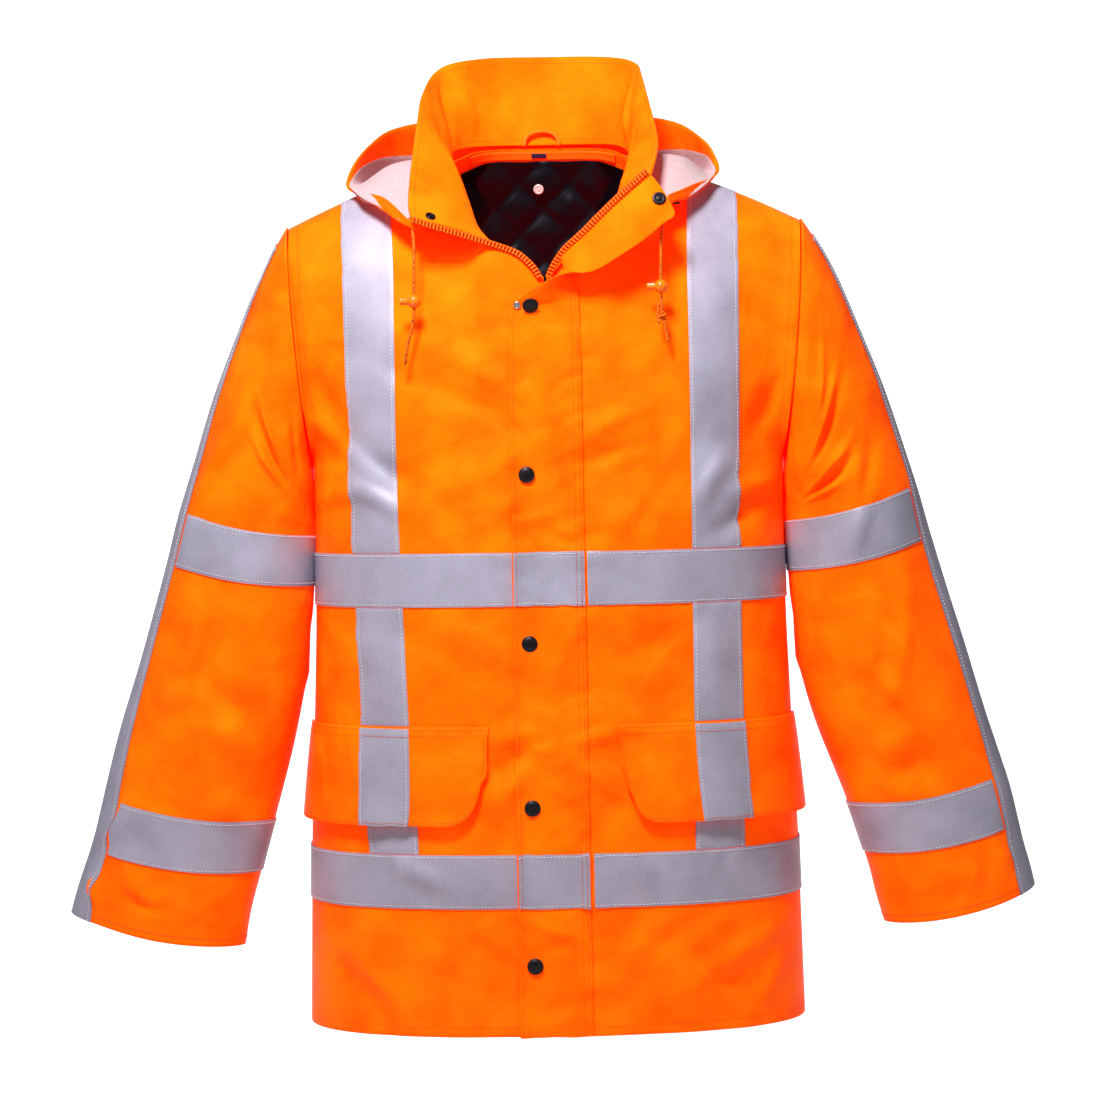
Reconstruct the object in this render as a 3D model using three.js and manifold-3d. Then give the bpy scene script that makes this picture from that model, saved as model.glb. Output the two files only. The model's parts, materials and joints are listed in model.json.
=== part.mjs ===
import * as THREE from "three";
import { mergeVertices } from "three/addons/utils/BufferGeometryUtils.js";
import Module from "manifold-3d";

// Hi-vis work jacket, worn shape with nobody in it. Millimetres, +Z up, the front faces -Y.
// The origin is on the centre line, 152 below the top of the collar, where a wearer's neck holds it.

// Cloth and seams
const CLOTH = 1.6; // outer cloth with its backing
const TAPE = 1.0; // reflective tape with its stitching
const SEAM = 0.3; // gap between two pieces
const TAPE_LIFT = 0.9; // underside of a tape above its panel
const TAPE_WIDTH = 50;

// Body
const UNDERARM_Z = -258;
const SIDE_POWER = 2.5; // squareness of the body's section
const BAND_SAG = 5; // how much lower the bands and the hem lie at the centre
const CHEST_BAND = { bottom: -387, top: -337 };
const HEM_BAND = { bottom: -667, top: -617 };
const ARMHOLE = { topX: 246, topZ: -24, bottomX: 226, depth: 72 };

// Storm flap
const FLAP_LEFT_X = -35;
const FLAP_RIGHT_X = 32;
const FLAP_LIFT = 2.2;

// Pocket flaps
const POCKET = { topZ: -498, height: 92, innerX: 60, corner: 30, standOff: 4.5 };

// Snaps: radius and thickness
const CAP = { radius: 7.5, thick: 2.4 };
const STUD = { radius: 5, thick: 2 };
const SOCKET = { radius: 6.5, thick: 2 };
const SMALL_SNAP = { radius: 4, thick: 1.8 };

// Drawcords
const CORD_RADIUS = 1.5;
const LOCK_BALL = 6.5;

// Materials: name, colour, roughness, metalness
const LOOKS = {
  orange: [0xff7a08, 0.62, 0],
  orangeInside: [0xff6a04, 0.66, 0],
  tape: [0xb3abc2, 0.42, 0.1],
  lining: [0x0d0b10, 0.5, 0],
  pale: [0xffe2e6, 0.8, 0],
  gunmetal: [0x2a2729, 0.32, 0.85],
  steel: [0xb8b4ae, 0.3, 0.9],
  navy: [0x15183a, 0.7, 0],
  cord: [0xff7a10, 0.7, 0],
};

// Body sections, from the hem up to the underarm
const BODY_COLUMNS = ["z", "halfWidth", "front", "back"];
const BODY_ROWS = [
  [-786, 238, 129, 105],
  [-667, 235.5, 130, 108],
  [-617, 234.5, 130, 109],
  [-500, 230, 127, 110],
  [-390, 226.5, 124, 112],
  [-340, 226, 122, 112],
  [-258, 226, 118, 112],
];

// Top edge of a front, from the centre along the opening, round the neck and out along the shoulder
const FRONT_TOP_COLUMNS = ["u", "y", "z"];
const FRONT_TOP = [
  [0.006, -95, -84],
  [0.05, -94, -72],
  [0.1, -93, -60],
  [0.2, -92, -53],
  [0.245, -78, -38],
  [0.285, -50, -13],
  [0.317, -20, 14],
  [0.36, 5, 38],
  [0.49, 4, 28],
  [0.79, 1, 0],
  [1, 0, -24],
];

// Top edge of the back, from the centre of the neck out along the shoulder
const BACK_TOP = [
  [0, 74, 58],
  [0.12, 72, 58],
  [0.2, 66, 57],
  [0.28, 48, 52],
  [0.335, 20, 42],
  [0.36, 5, 38],
  [0.49, 4, 28],
  [0.79, 1, 0],
  [1, 0, -24],
];

// Sleeve sections: the outer point, the inner point, the depth and the middle's y
const SLEEVE_COLUMNS = ["outerX", "outerZ", "innerX", "innerZ", "depth", "y"];
const SLEEVE_RIGHT = [
  [248.6, -23.5, 228.3, -258, 72, 0],
  [260, -43, 229.2, -265, 74, 0],
  [271, -65, 229.4, -272, 75, 0],
  [285, -95, 229.6, -281, 76, 0],
  [301, -134, 230, -292, 76, -1],
  [319, -182, 230.4, -303, 75, -2],
  [336, -234, 230.8, -313, 73, -3],
  [355, -295, 231, -322, 71, -4],
  [368, -345, 231.6, -370, 69, -6],
  [391, -420, 235, -446, 67, -9],
  [413, -496, 247, -512, 64, -12],
  [432, -567, 269, -593, 60, -14],
  [445.5, -616, 282, -642, 57, -15],
  [456, -652, 292, -681, 55, -16],
  [463.5, -679, 300, -713, 53, -16],
];
const SLEEVE_LEFT = [
  [248.6, -23.5, 228.3, -258, 72, 0],
  [261, -43, 229.2, -265, 74, 0],
  [272, -62, 229.4, -272, 75, 0],
  [287, -93, 229.6, -281, 76, 0],
  [303, -132, 230, -292, 76, -1],
  [321, -180, 230.4, -302, 75, -2],
  [338, -232, 230.8, -309, 73, -3],
  [353, -282, 231, -316, 71, -4],
  [366, -333, 232, -364, 69, -6],
  [389, -412, 236, -440, 67, -9],
  [411, -486, 250, -506, 64, -12],
  [433, -559.5, 282, -586, 60, -14],
  [444, -607.5, 297, -634, 57, -15],
  [452.5, -642, 306, -672, 55, -16],
  [459.5, -669, 315, -702, 53, -16],
];

// Stand collar, from the right front edge round the back to the left front edge
const COLLAR_COLUMNS = ["seamX", "seamY", "seamZ", "topX", "topY", "topZ"];
const COLLAR_ROWS = [
  [-50, -96, -50, -124, -106, -27],
  [-62, -82, -34, -127, -88, -9],
  [-70, -52, -9, -125, -42, 34],
  [-79, -22, 19.5, -120, -6, 78],
  [-88, 12, 45, -115, 25, 109],
  [-78, 48, 56.5, -99, 60, 138],
  [-50, 67.5, 61, -60, 84, 150],
  [0, 75.5, 62, 0, 92, 152],
  [50, 67.5, 61, 60, 84, 150],
  [74, 48, 56.5, 90, 60, 141],
  [84, 14, 43, 97, 30, 122],
  [77, -20, 20, 106, 0, 82],
  [68, -52, -8, 110, -32, 52],
  [58, -82, -30, 106, -66, 30],
  [48, -96, -44, 101, -90, 13],
];

// Hood hanging behind the collar: at the neck, on the floor of the bag, at its belly, at the rim
const HOOD_COLUMNS = [
  "neckX", "neckY", "neckZ", "floorX", "floorY", "floorZ",
  "bellyX", "bellyY", "bellyZ", "rimX", "rimY", "rimZ",
];
const HOOD_ROWS = [
  [-96, -72, -25.6, -108, -86, -31.6, -122, -90, -37.6, -126, -88, -29.6],
  [-92, -44, 0.4, -118, -66, -11.6, -148, -66, -19.6, -154, -58, -1.6],
  [-96, -14, 28.4, -140, -34, 17.4, -176, -30, 4.4, -188, -14, 10.4],
  [-100, 14, 43.4, -146, 20, 34.4, -180, 26, 18.4, -187, 16, 34.4],
  [-92, 50, 56.4, -142, 88, 0.4, -168, 84, 18.4, -172, 50, 60.4],
  [-70, 74, 60.4, -106, 124, -39.6, -134, 134, 4.4, -148, 88, 82.4],
  [-38, 84, 63.4, -58, 134, -65.6, -76, 164, -13.6, -96, 118, 94.4],
  [0, 88, 64.4, 0, 136, -75.6, 0, 174, -17.6, 0, 134, 94.4],
  [38, 84, 63.4, 58, 134, -65.6, 74, 164, -13.6, 90, 118, 94.4],
  [70, 74, 60.4, 104, 124, -39.6, 126, 132, 4.4, 132, 88, 84.4],
  [90, 50, 56.4, 132, 86, 4.4, 152, 82, 22.4, 156, 50, 63.4],
  [98, 14, 43.4, 136, 18, 36.4, 160, 22, 24.4, 166, 14, 44.4],
  [95, -14, 29.4, 130, -30, 20.4, 158, -30, 10.4, 169, -14, 20.4],
  [90, -42, 5.4, 118, -60, -3.6, 136, -62, -9.6, 142, -56, 4.4],
  [90, -66, -15.6, 104, -78, -17.6, 114, -84, -15.6, 119, -82, -7.6],
];

// Storm flap above the buttoned part: the sewn edge, the middle and the free edge, turning open
const FLAP_COLUMNS = ["sewnX", "sewnY", "sewnZ", "midX", "midY", "midZ", "freeX", "freeY", "freeZ"];
const FLAP_TOP_ROWS = [
  [31, -109.5, -106, -2, -113, -112, -33, -112.5, -114],
  [29, -108, -96, 2, -116, -106, -24, -117, -104],
  [25, -106.5, -86, 9, -119, -94, -6, -122, -94],
  [20, -105, -77, 17, -120, -84, 16, -126, -84],
  [16, -102.5, -69, 28, -119, -76, 43, -125, -83],
  [19, -100, -61, 41, -114, -64, 70, -120, -68],
  [32, -100, -50, 58, -112, -49, 94, -115, -52],
  [50, -100, -33, 78, -109, -34, 112, -110, -37],
  [76, -98, -9, 98, -105, -18, 120, -107, -32],
  [100, -96, 11, 113, -101, -8, 122, -105, -27],
];

const byName = (columns, row) => Object.fromEntries(columns.map((name, i) => [name, row[i]]));

// Reads a table whose first column rises or falls steadily, by straight lines between its rows
function lookUp(rows, key, column) {
  const falling = rows[0][0] > rows[rows.length - 1][0];
  const sorted = falling ? [...rows].reverse() : rows;
  if (key <= sorted[0][0]) return sorted[0][column];
  for (let i = 1; i < sorted.length; i++) {
    if (key <= sorted[i][0]) {
      const [a, b] = [sorted[i - 1], sorted[i]];
      const t = (key - a[0]) / (b[0] - a[0]);
      return a[column] + (b[column] - a[column]) * t;
    }
  }
  return sorted[sorted.length - 1][column];
}

const straight = (u) => u;
const lerp = (a, b, t) => a + (b - a) * t;
const vec = (x, y, z) => new THREE.Vector3(x, y, z);
const spread = (from, to, count) =>
  Array.from({ length: count + 1 }, (_, i) => lerp(from, to, i / count));

// A smooth curve value through evenly spaced numbers, at place t counted in steps
function smooth(values, t) {
  const last = values.length - 1;
  const i = Math.min(Math.max(Math.floor(t), 0), last - 1);
  const f = t - i;
  const [b, c] = [values[i], values[i + 1]];
  const a = i > 0 ? values[i - 1] : 2 * b - c;
  const d = i + 2 <= last ? values[i + 2] : 2 * c - b;
  return b + 0.5 * f * (c - a + f * (2 * a - 5 * b + 4 * c - d + f * (3 * (b - c) + d - a)));
}

// Soft troughs (-) and ridges (+) in the body: place across, place up, lean, length, width, height
const FRONT_FOLDS = [
  [0.93, -235, 0.2, 120, 26, -4],
  [0.8, -170, 0.25, 110, 30, -2.5],
  [0.62, -455, -0.1, 150, 40, -2],
  [0.45, -730, 0.05, 130, 40, 2.5],
  [0.8, -720, -0.05, 150, 38, -2.5],
];
const BACK_FOLDS = [
  [0.9, -215, 0.22, 130, 28, -4],
  [-0.88, -225, -0.22, 140, 28, -4],
  [0.45, -520, 0.06, 190, 45, -3],
  [-0.5, -560, -0.05, 170, 42, -3],
  [0.1, -700, 0.02, 180, 50, 3],
  [-0.75, -730, 0.04, 120, 36, 2.5],
  [0.75, -720, -0.03, 130, 38, 2.5],
];

function foldHeight(folds, x, z) {
  let height = 0;
  for (const [u, middleZ, lean, length, width, depth] of folds) {
    const along = (z - middleZ) / length;
    const across = (x - u * 232 - lean * (z - middleZ)) / width;
    height += depth * Math.exp(-along * along * 2 - across * across * 2);
  }
  return height;
}

// A point of the body's outside. u runs from the centre (0) to the side (1).
// v is the height at the side seam up to the underarm, and above it falls from -258 there to 0 at the top.
function bodyPoint(side, isBack, u, v) {
  const sign = isBack ? 1 : -1;
  const size = Math.abs(u);
  const roundness = Math.pow(Math.max(0, 1 - Math.pow(size, SIDE_POWER)), 1 / SIDE_POWER);
  const depthColumn = isBack ? 3 : 2;
  let x;
  let y;
  let z;
  if (v <= UNDERARM_Z) {
    x = u * lookUp(BODY_ROWS, v, 1);
    y = sign * lookUp(BODY_ROWS, v, depthColumn) * roundness;
    z = v - BAND_SAG * roundness;
  } else {
    const down = v / UNDERARM_Z;
    const top = isBack ? BACK_TOP : FRONT_TOP;
    const topY = lookUp(top, size, 1);
    const topZ = lookUp(top, size, 2);
    const bottomZ = UNDERARM_Z - BAND_SAG * roundness;
    const height = 1 - 2 * down;
    const armhole = sign * ARMHOLE.depth * Math.sqrt(Math.max(0, 1 - height * height));
    const bottomY = sign * lookUp(BODY_ROWS, UNDERARM_Z, depthColumn);
    const rise = Math.pow(Math.sin((Math.PI * down) / 2), 0.6);
    const middleY = topY + (bottomY - topY) * rise;
    x = u * lerp(ARMHOLE.topX, ARMHOLE.bottomX, down);
    const edge = Math.pow(size, 10) * Math.min(1, (1 - down) * 10);
    const section = lerp(1, roundness, Math.sqrt(Math.sin((Math.PI * down) / 2)));
    y = lerp(middleY * section, armhole, edge);
    z = lerp(topZ, bottomZ, down);
  }
  const fade = Math.min(1, roundness * 3);
  const fold = foldHeight(isBack ? BACK_FOLDS : FRONT_FOLDS, isBack ? side * x : x, z);
  y += sign * fold * fade;
  return vec(side * x, y + sign * 0.5 * SEAM, z);
}

// Normals of a grid of points, from its neighbours, turned to the outside
function gridNormals(points, wrap, flip) {
  const rows = points.length;
  const columns = points[0].length;
  return points.map((row, j) =>
    row.map((_, i) => {
      const left = wrap ? (i + columns - 1) % columns : Math.max(i - 1, 0);
      const right = wrap ? (i + 1) % columns : Math.min(i + 1, columns - 1);
      const across = points[j][right].clone().sub(points[j][left]);
      const up = points[Math.min(j + 1, rows - 1)][i]
        .clone()
        .sub(points[Math.max(j - 1, 0)][i]);
      const normal = across.cross(up).normalize();
      return flip ? normal.negate() : normal;
    }),
  );
}

// A closed wall between a grid of outer points and the same points moved in along their normals
function wall(points, normals, thickness, wrap, flip) {
  const rows = points.length;
  const columns = points[0].length;
  const positions = [];
  const inner = rows * columns;
  for (const level of [0, -thickness]) {
    for (let j = 0; j < rows; j++) {
      for (let i = 0; i < columns; i++) {
        const p = points[j][i].clone().addScaledVector(normals[j][i], level);
        positions.push(p.x, p.y, p.z);
      }
    }
  }
  const faces = [];
  const quad = (a, b, c, d) => {
    if (flip) faces.push(a, c, b, a, d, c);
    else faces.push(a, b, c, a, c, d);
  };
  const at = (j, i) => j * columns + (i % columns);
  const spans = wrap ? columns : columns - 1;
  for (let j = 0; j < rows - 1; j++) {
    for (let i = 0; i < spans; i++) {
      quad(at(j, i), at(j, i + 1), at(j + 1, i + 1), at(j + 1, i));
      quad(
        inner + at(j, i),
        inner + at(j + 1, i),
        inner + at(j + 1, i + 1),
        inner + at(j, i + 1),
      );
    }
  }
  for (let i = 0; i < spans; i++) {
    const end = rows - 1;
    quad(at(0, i), inner + at(0, i), inner + at(0, i + 1), at(0, i + 1));
    quad(at(end, i), at(end, i + 1), inner + at(end, i + 1), inner + at(end, i));
  }
  if (!wrap) {
    const end = columns - 1;
    for (let j = 0; j < rows - 1; j++) {
      quad(at(j, 0), at(j + 1, 0), inner + at(j + 1, 0), inner + at(j, 0));
      quad(at(j, end), inner + at(j, end), inner + at(j + 1, end), at(j + 1, end));
    }
  }
  const geometry = new THREE.BufferGeometry();
  geometry.setAttribute("position", new THREE.Float32BufferAttribute(positions, 3));
  geometry.setIndex(faces);
  return geometry;
}

const jacket = new THREE.Group();
jacket.name = "hi_vis_work_jacket";

function add(name, geometry, look) {
  const [color, roughness, metalness] = LOOKS[look];
  const material = new THREE.MeshStandardMaterial({ color, roughness, metalness });
  material.name = look;
  const mesh = new THREE.Mesh(geometry, material);
  mesh.name = name;
  geometry.computeVertexNormals();
  jacket.add(mesh);
  return mesh;
}

// A panel keeps its lines, points and normals, so that what lies on it follows its facets
function makePanel(pointAt, uLines, vLines, { wrap = false, flip = false, fixNormal } = {}) {
  const points = vLines.map((v) => uLines.map((u) => pointAt(u, v)));
  const normals = gridNormals(points, wrap, flip);
  if (fixNormal) {
    normals.forEach((row, j) => row.forEach((n, i) => fixNormal(n, uLines[i], vLines[j])));
  }
  return { pointAt, uLines, vLines, points, normals, wrap, flip };
}

// The panel's faceted surface at (u, v), moved out by lift
function onPanel(panel, u, v, lift) {
  const { uLines, vLines, points, normals } = panel;
  const place = (lines, value) => {
    const rising = lines[lines.length - 1] > lines[0];
    let i = 0;
    while (
      i < lines.length - 2 &&
      (rising ? value > lines[i + 1] + 1e-9 : value < lines[i + 1] - 1e-9)
    )
      i++;
    return [i, (value - lines[i]) / (lines[i + 1] - lines[i])];
  };
  const [i, fu] = place(uLines, u);
  const [j, fv] = place(vLines, v);
  const mix = (grid) =>
    grid[j][i]
      .clone()
      .lerp(grid[j][i + 1], fu)
      .lerp(grid[j + 1][i].clone().lerp(grid[j + 1][i + 1], fu), fv);
  return mix(points).addScaledVector(mix(normals).normalize(), lift);
}

const between = (lines, from, to) => {
  const [low, high] = from < to ? [from, to] : [to, from];
  const inside = lines.filter((l) => l > low + 1e-3 && l < high - 1e-3);
  const all = [low, ...inside, high].sort((a, b) => a - b);
  return lines[lines.length - 1] > lines[0] ? all : all.reverse();
};

// A piece lying on a panel, its u range given at each height
function layOn(panel, uLines, vLines, uAt, lift, thickness) {
  const points = vLines.map((v) => uLines.map((u) => onPanel(panel, uAt(u, v), v, lift + thickness)));
  const normals = gridNormals(points, false, panel.flip);
  return wall(points, normals, thickness, false, panel.flip);
}

// The u that lies a given distance along the panel from another
function stepAlong(panel, u, v, distance) {
  const direction = Math.sign(distance);
  const step = 0.004;
  let here = u;
  let walked = 0;
  let point = onPanel(panel, here, v, 0);
  while (walked < Math.abs(distance) && here + direction * step < 1) {
    here += direction * step;
    const next = onPanel(panel, here, v, 0);
    walked += next.distanceTo(point);
    point = next;
  }
  return Math.min(here, 0.999);
}

// The u at which the panel reaches a given distance from the centre line
function uAtX(panel, x, v) {
  let [low, high] = [Math.max(panel.uLines[0], 0), 1];
  for (let i = 0; i < 24; i++) {
    const middle = (low + high) / 2;
    if (Math.abs(onPanel(panel, middle, v, 0).x) < x) low = middle;
    else high = middle;
  }
  return low;
}

// Body panels
const FRONT_U = [
  0.006, 0.05, 0.1, 0.2, 0.245, 0.285, 0.317, 0.36, 0.43, 0.52, 0.6, 0.68, 0.76, 0.84, 0.91, 0.96,
  0.99, 1,
];
const BACK_HALF_U = [0.12, 0.2, 0.28, 0.335, 0.36, 0.45, 0.55, 0.65, 0.75, 0.85, 0.93, 0.98, 1];
const BACK_U = [...BACK_HALF_U.map((u) => -u).reverse(), 0, ...BACK_HALF_U];
const LOWER_V = [-786, -728, -667, -617, -560, -498, -442, -387, -337, -298];
const UPPER_V = [1, 0.9, 0.76, 0.6, 0.45, 0.31, 0.19, 0.1, 0.04, 0].map((s) => UNDERARM_Z * s);
const BODY_V = [...LOWER_V, ...UPPER_V];

// Seams at the side and along the shoulder lie in the plane between front and back
function seamNormal(n, u, v) {
  const side = Math.abs(u) > 0.999 && v <= UNDERARM_Z + 1;
  const shoulder = v > -0.5 && Math.abs(u) > 0.355;
  if (side || shoulder) n.setY(0).normalize();
}

const frontPanel = (side) =>
  makePanel((u, v) => bodyPoint(side, false, u, v), FRONT_U, BODY_V, {
    flip: side < 0,
    fixNormal: seamNormal,
  });
const fronts = { right: frontPanel(-1), left: frontPanel(1) };
const back = makePanel((u, v) => bodyPoint(1, true, u, v), BACK_U, BODY_V, {
  flip: true,
  fixNormal: seamNormal,
});
const sides = ["right", "left"];
for (const side of sides) {
  const { points, normals, flip } = fronts[side];
  add(`front_${side}`, wall(points, normals, CLOTH, false, flip), "orange");
}
add("back", wall(back.points, back.normals, CLOTH, false, true), "orange");

// Sleeves: rings of points round the arm, from the armhole to the cuff
const SLEEVE_FOLDS = [
  // place round, place along, lean, length, width, height
  [0.62, 1.6, 1.0, 1.1, 0.05, -4],
  [0.68, 3.6, 1.4, 1.3, 0.05, -4],
  [0.8, 5.6, -1.0, 1.2, 0.06, 3],
  [0.7, 8.6, 1.2, 1.0, 0.06, -4],
  [0.78, 9.6, 0.8, 1.1, 0.05, 3.5],
  [0.3, 3.2, 1.0, 1.4, 0.06, -4],
  [0.25, 8.8, -1.0, 1.2, 0.06, -4],
];

function sleevePoint(rows, side, u, v) {
  const at = (column) => smooth(rows.map((row) => row[column]), v);
  const angle = 2 * Math.PI * u;
  const [outerX, outerZ, innerX, innerZ, depth, middleY] = SLEEVE_COLUMNS.map((_, i) => at(i));
  const c = Math.cos(angle);
  const s = Math.sin(angle);
  const middleX = (outerX + innerX) / 2;
  const middleZ = (outerZ + innerZ) / 2;
  const halfX = (outerX - innerX) / 2;
  const halfZ = (outerZ - innerZ) / 2;
  let fold = 0;
  for (const [around, along, lean, length, width, height] of SLEEVE_FOLDS) {
    const a = (v - along) / length;
    const b = (u - around - (lean * (v - along)) / 40) / width;
    fold += height * Math.exp(-a * a * 2 - b * b * 2);
  }
  const fade = Math.min(1, v / 1.5) * (1 - Math.exp(-Math.pow(Math.min(u, 1 - u) / 0.08, 2)));
  const grow = 1 + (fold * fade) / depth;
  const dip = -7 * s * s * Math.min(1, v / 4); // the rings sag in the middle of the front and back
  return vec(
    side * (middleX + halfX * c),
    middleY + depth * s * grow,
    middleZ + halfZ * c + dip,
  );
}

const SLEEVE_U = spread(0, 1, 20).slice(0, -1);
const SLEEVE_V = [0, 0.8, 2, 3, 4, 5, 6, 7, 8, 9, 9.6, 10.3, 11, 12, 13, 14];
const sleeveTables = { right: SLEEVE_RIGHT, left: SLEEVE_LEFT };
const sleeves = {};
for (const side of sides) {
  const sign = side === "left" ? 1 : -1;
  const pointAt = (u, v) => sleevePoint(sleeveTables[side], sign, u, v);
  const flip = side === "left";
  const closed = makePanel(pointAt, SLEEVE_U, SLEEVE_V, { wrap: true, flip });
  add(`sleeve_${side}`, wall(closed.points, closed.normals, CLOTH, true, flip), "orange");
  // the same rings with the first column repeated, so that tapes can be placed across it
  const repeat = (grid) => grid.map((row) => [...row, ...row.slice(0, 7)]);
  sleeves[side] = {
    uLines: [...SLEEVE_U, ...SLEEVE_U.slice(0, 7).map((u) => u + 1)],
    vLines: SLEEVE_V,
    points: repeat(closed.points),
    normals: repeat(closed.normals),
    flip,
  };
}

// Columns of a tape: its two edges, which lean a little, and every line of the panel between them
function columnsBetween(panel, edges) {
  const from = Math.min(...[...edges.values()].map(([start]) => start));
  const to = Math.max(...[...edges.values()].map(([, end]) => end));
  const inside = panel.uLines.filter((u) => u > from + 0.004 && u < to - 0.004);
  const across = [-9, ...inside, 9];
  const uAt = (column, line) => {
    const [start, end] = edges.get(line);
    const place = across.indexOf(column);
    const low = start + 0.002 * place;
    const high = end - 0.002 * (across.length - 1 - place);
    return Math.min(Math.max(column, low), high);
  };
  return { across, uAt };
}

// Sleeve tapes: two rings, open where the long stripe runs down the outside of the sleeve
const RINGS = { upper: [7, 8], lower: [11, 12] };
const STRIPE_FORWARD = 0.05; // how far before the outer line the stripe's middle comes at the cuff
for (const side of sides) {
  const sleeve = sleeves[side];
  const rowEdges = new Map(
    SLEEVE_V.map((v) => {
      const middle = 1 - (STRIPE_FORWARD * v) / SLEEVE_V.at(-1);
      const walk = (distance) => {
        let u = middle;
        let walked = 0;
        let point = onPanel(sleeve, u, v, 0);
        while (walked < Math.abs(distance)) {
          u += 0.002 * Math.sign(distance);
          const next = onPanel(sleeve, u, v, 0);
          walked += next.distanceTo(point);
          point = next;
        }
        return u;
      };
      return [v, [walk(-TAPE_WIDTH / 2), walk(TAPE_WIDTH / 2)]];
    }),
  );
  const stripe = columnsBetween(sleeve, rowEdges);
  add(
    `sleeve_stripe_${side}`,
    layOn(sleeve, stripe.across, SLEEVE_V.slice(1), stripe.uAt, TAPE_LIFT, TAPE),
    "tape",
  );
  for (const [ring, rows] of Object.entries(RINGS)) {
    const gap = 0.006;
    const start = Math.max(...rows.map((v) => rowEdges.get(v)[1])) - 1 + gap;
    const end = Math.min(...rows.map((v) => rowEdges.get(v)[0])) - gap;
    const lines = between(sleeve.uLines, start, end);
    add(
      `sleeve_${side}_ring_${ring}`,
      layOn(sleeve, lines, rows, straight, TAPE_LIFT, TAPE),
      "tape",
    );
  }
}

// Bands round the body: the fronts, the back and the piece on the storm flap
for (const [name, band] of [["chest", CHEST_BAND], ["hem", HEM_BAND]]) {
  const heights = [band.bottom, band.top];
  for (const side of sides) {
    const start = side === "right" ? 0.07 : 0.152;
    const lines = between(FRONT_U, start, 0.9985);
    add(
      `${name}_band_front_${side}`,
      layOn(fronts[side], lines, heights, straight, TAPE_LIFT, TAPE),
      "tape",
    );
  }
  const lines = between(BACK_U, -0.9985, 0.9985);
  add(`${name}_band_back`, layOn(back, lines, heights, straight, TAPE_LIFT, TAPE), "tape");
}

// Shoulder braces: the distance of the inner edge from the centre line, by height
const BRACE_INNER = {
  right: [[-790, 126], [-617, 127], [-500, 134], [-390, 138], [-258, 142], [-100, 143], [0, 148]],
  left: [[-790, 130.5], [-617, 130.5], [-500, 131.5], [-258, 133], [-100, 134], [0, 138]],
};

// Columns of a brace on the body
function tapeAcross(panel, inner, lines, heightAt) {
  const edges = new Map(
    lines.map((line) => {
      const v = heightAt(line);
      const start = uAtX(panel, lookUp(inner, v, 1), line);
      return [line, [start, stepAlong(panel, start, line, TAPE_WIDTH)]];
    }),
  );
  return columnsBetween(panel, edges);
}

function brace(name, panel, inner, from, to, sign = 1) {
  const vLines = between(BODY_V, from, to);
  const { across, uAt } = tapeAcross(panel, inner, vLines, (v) => v);
  const lines = sign > 0 ? across : [...across].reverse();
  add(name, layOn(panel, lines, vLines, (k, v) => sign * uAt(k, v), TAPE_LIFT, TAPE), "tape");
}

const BRACE_GAP = 0.6;
for (const side of sides) {
  const sign = side === "left" ? 1 : -1;
  const inner = BRACE_INNER[side];
  brace(`brace_front_${side}_upper`, fronts[side], inner, CHEST_BAND.top + BRACE_GAP, -1.5);
  brace(
    `brace_front_${side}_middle`,
    fronts[side],
    inner,
    POCKET.topZ + BRACE_GAP,
    CHEST_BAND.bottom - BRACE_GAP,
  );
  brace(`brace_front_${side}_lower`, fronts[side], inner, HEM_BAND.top + BRACE_GAP, -572);
  brace(`brace_back_${side}_upper`, back, inner, CHEST_BAND.top + BRACE_GAP, -1.5, sign);
  brace(
    `brace_back_${side}_lower`,
    back,
    inner,
    HEM_BAND.top + BRACE_GAP,
    CHEST_BAND.bottom - BRACE_GAP,
    sign,
  );
}

// Pocket flaps hang from their top seam and stand off the panel a little
function pocketPoint(panel, u, t, extra) {
  const inner = onPanel(panel, uAtX(panel, POCKET.innerX, POCKET.topZ), POCKET.topZ, 0);
  const here = onPanel(panel, u, POCKET.topZ, 0);
  const reach = here.distanceTo(inner);
  const short = Math.max(0, POCKET.corner - reach);
  const cut = POCKET.corner - Math.sqrt(Math.max(0, POCKET.corner ** 2 - short ** 2));
  const v = POCKET.topZ - t * (POCKET.height - cut);
  const lift = 0.6 + POCKET.standOff * Math.pow(t, 0.7);
  return onPanel(panel, u, v, lift + CLOTH + extra);
}

for (const side of sides) {
  const panel = fronts[side];
  const start = uAtX(panel, POCKET.innerX, POCKET.topZ);
  const corner = [0.012, 0.034, 0.07].map((step) => start + step);
  const lines = [start, ...corner, ...between(FRONT_U, start + 0.09, 0.9985).slice(1)];
  const heights = [1, 0.62, 0.3, 0];
  const flap = makePanel((u, t) => pocketPoint(panel, u, t, 0), lines, heights, { flip: panel.flip });
  add(`pocket_flap_${side}`, wall(flap.points, flap.normals, CLOTH, false, panel.flip), "orange");
  const tapeHeights = [1, 0.62, 0.3, 0.02];
  const heightAt = (t) => POCKET.topZ - t * POCKET.height;
  const { across, uAt } = tapeAcross(flap, BRACE_INNER[side], tapeHeights, heightAt);
  add(`brace_pocket_${side}`, layOn(flap, across, tapeHeights, uAt, TAPE_LIFT, TAPE), "tape");
}

// Storm flap: buttoned down below, its top turned open
function flapRow(v) {
  const point = (x) => {
    const side = x < 0 ? "right" : "left";
    const panel = fronts[side];
    const u = Math.max(Math.abs(x) / Math.abs(onPanel(panel, 1, v, 0).x), FRONT_U[0]);
    const lift = lerp(FLAP_LIFT, 0.6, Math.pow(Math.max(0, (x - 10) / 22), 2));
    const p = onPanel(panel, u, v, lift + CLOTH);
    return vec(x, p.y, p.z);
  };
  return spread(FLAP_RIGHT_X, FLAP_LEFT_X, 6).map(point);
}

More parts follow.
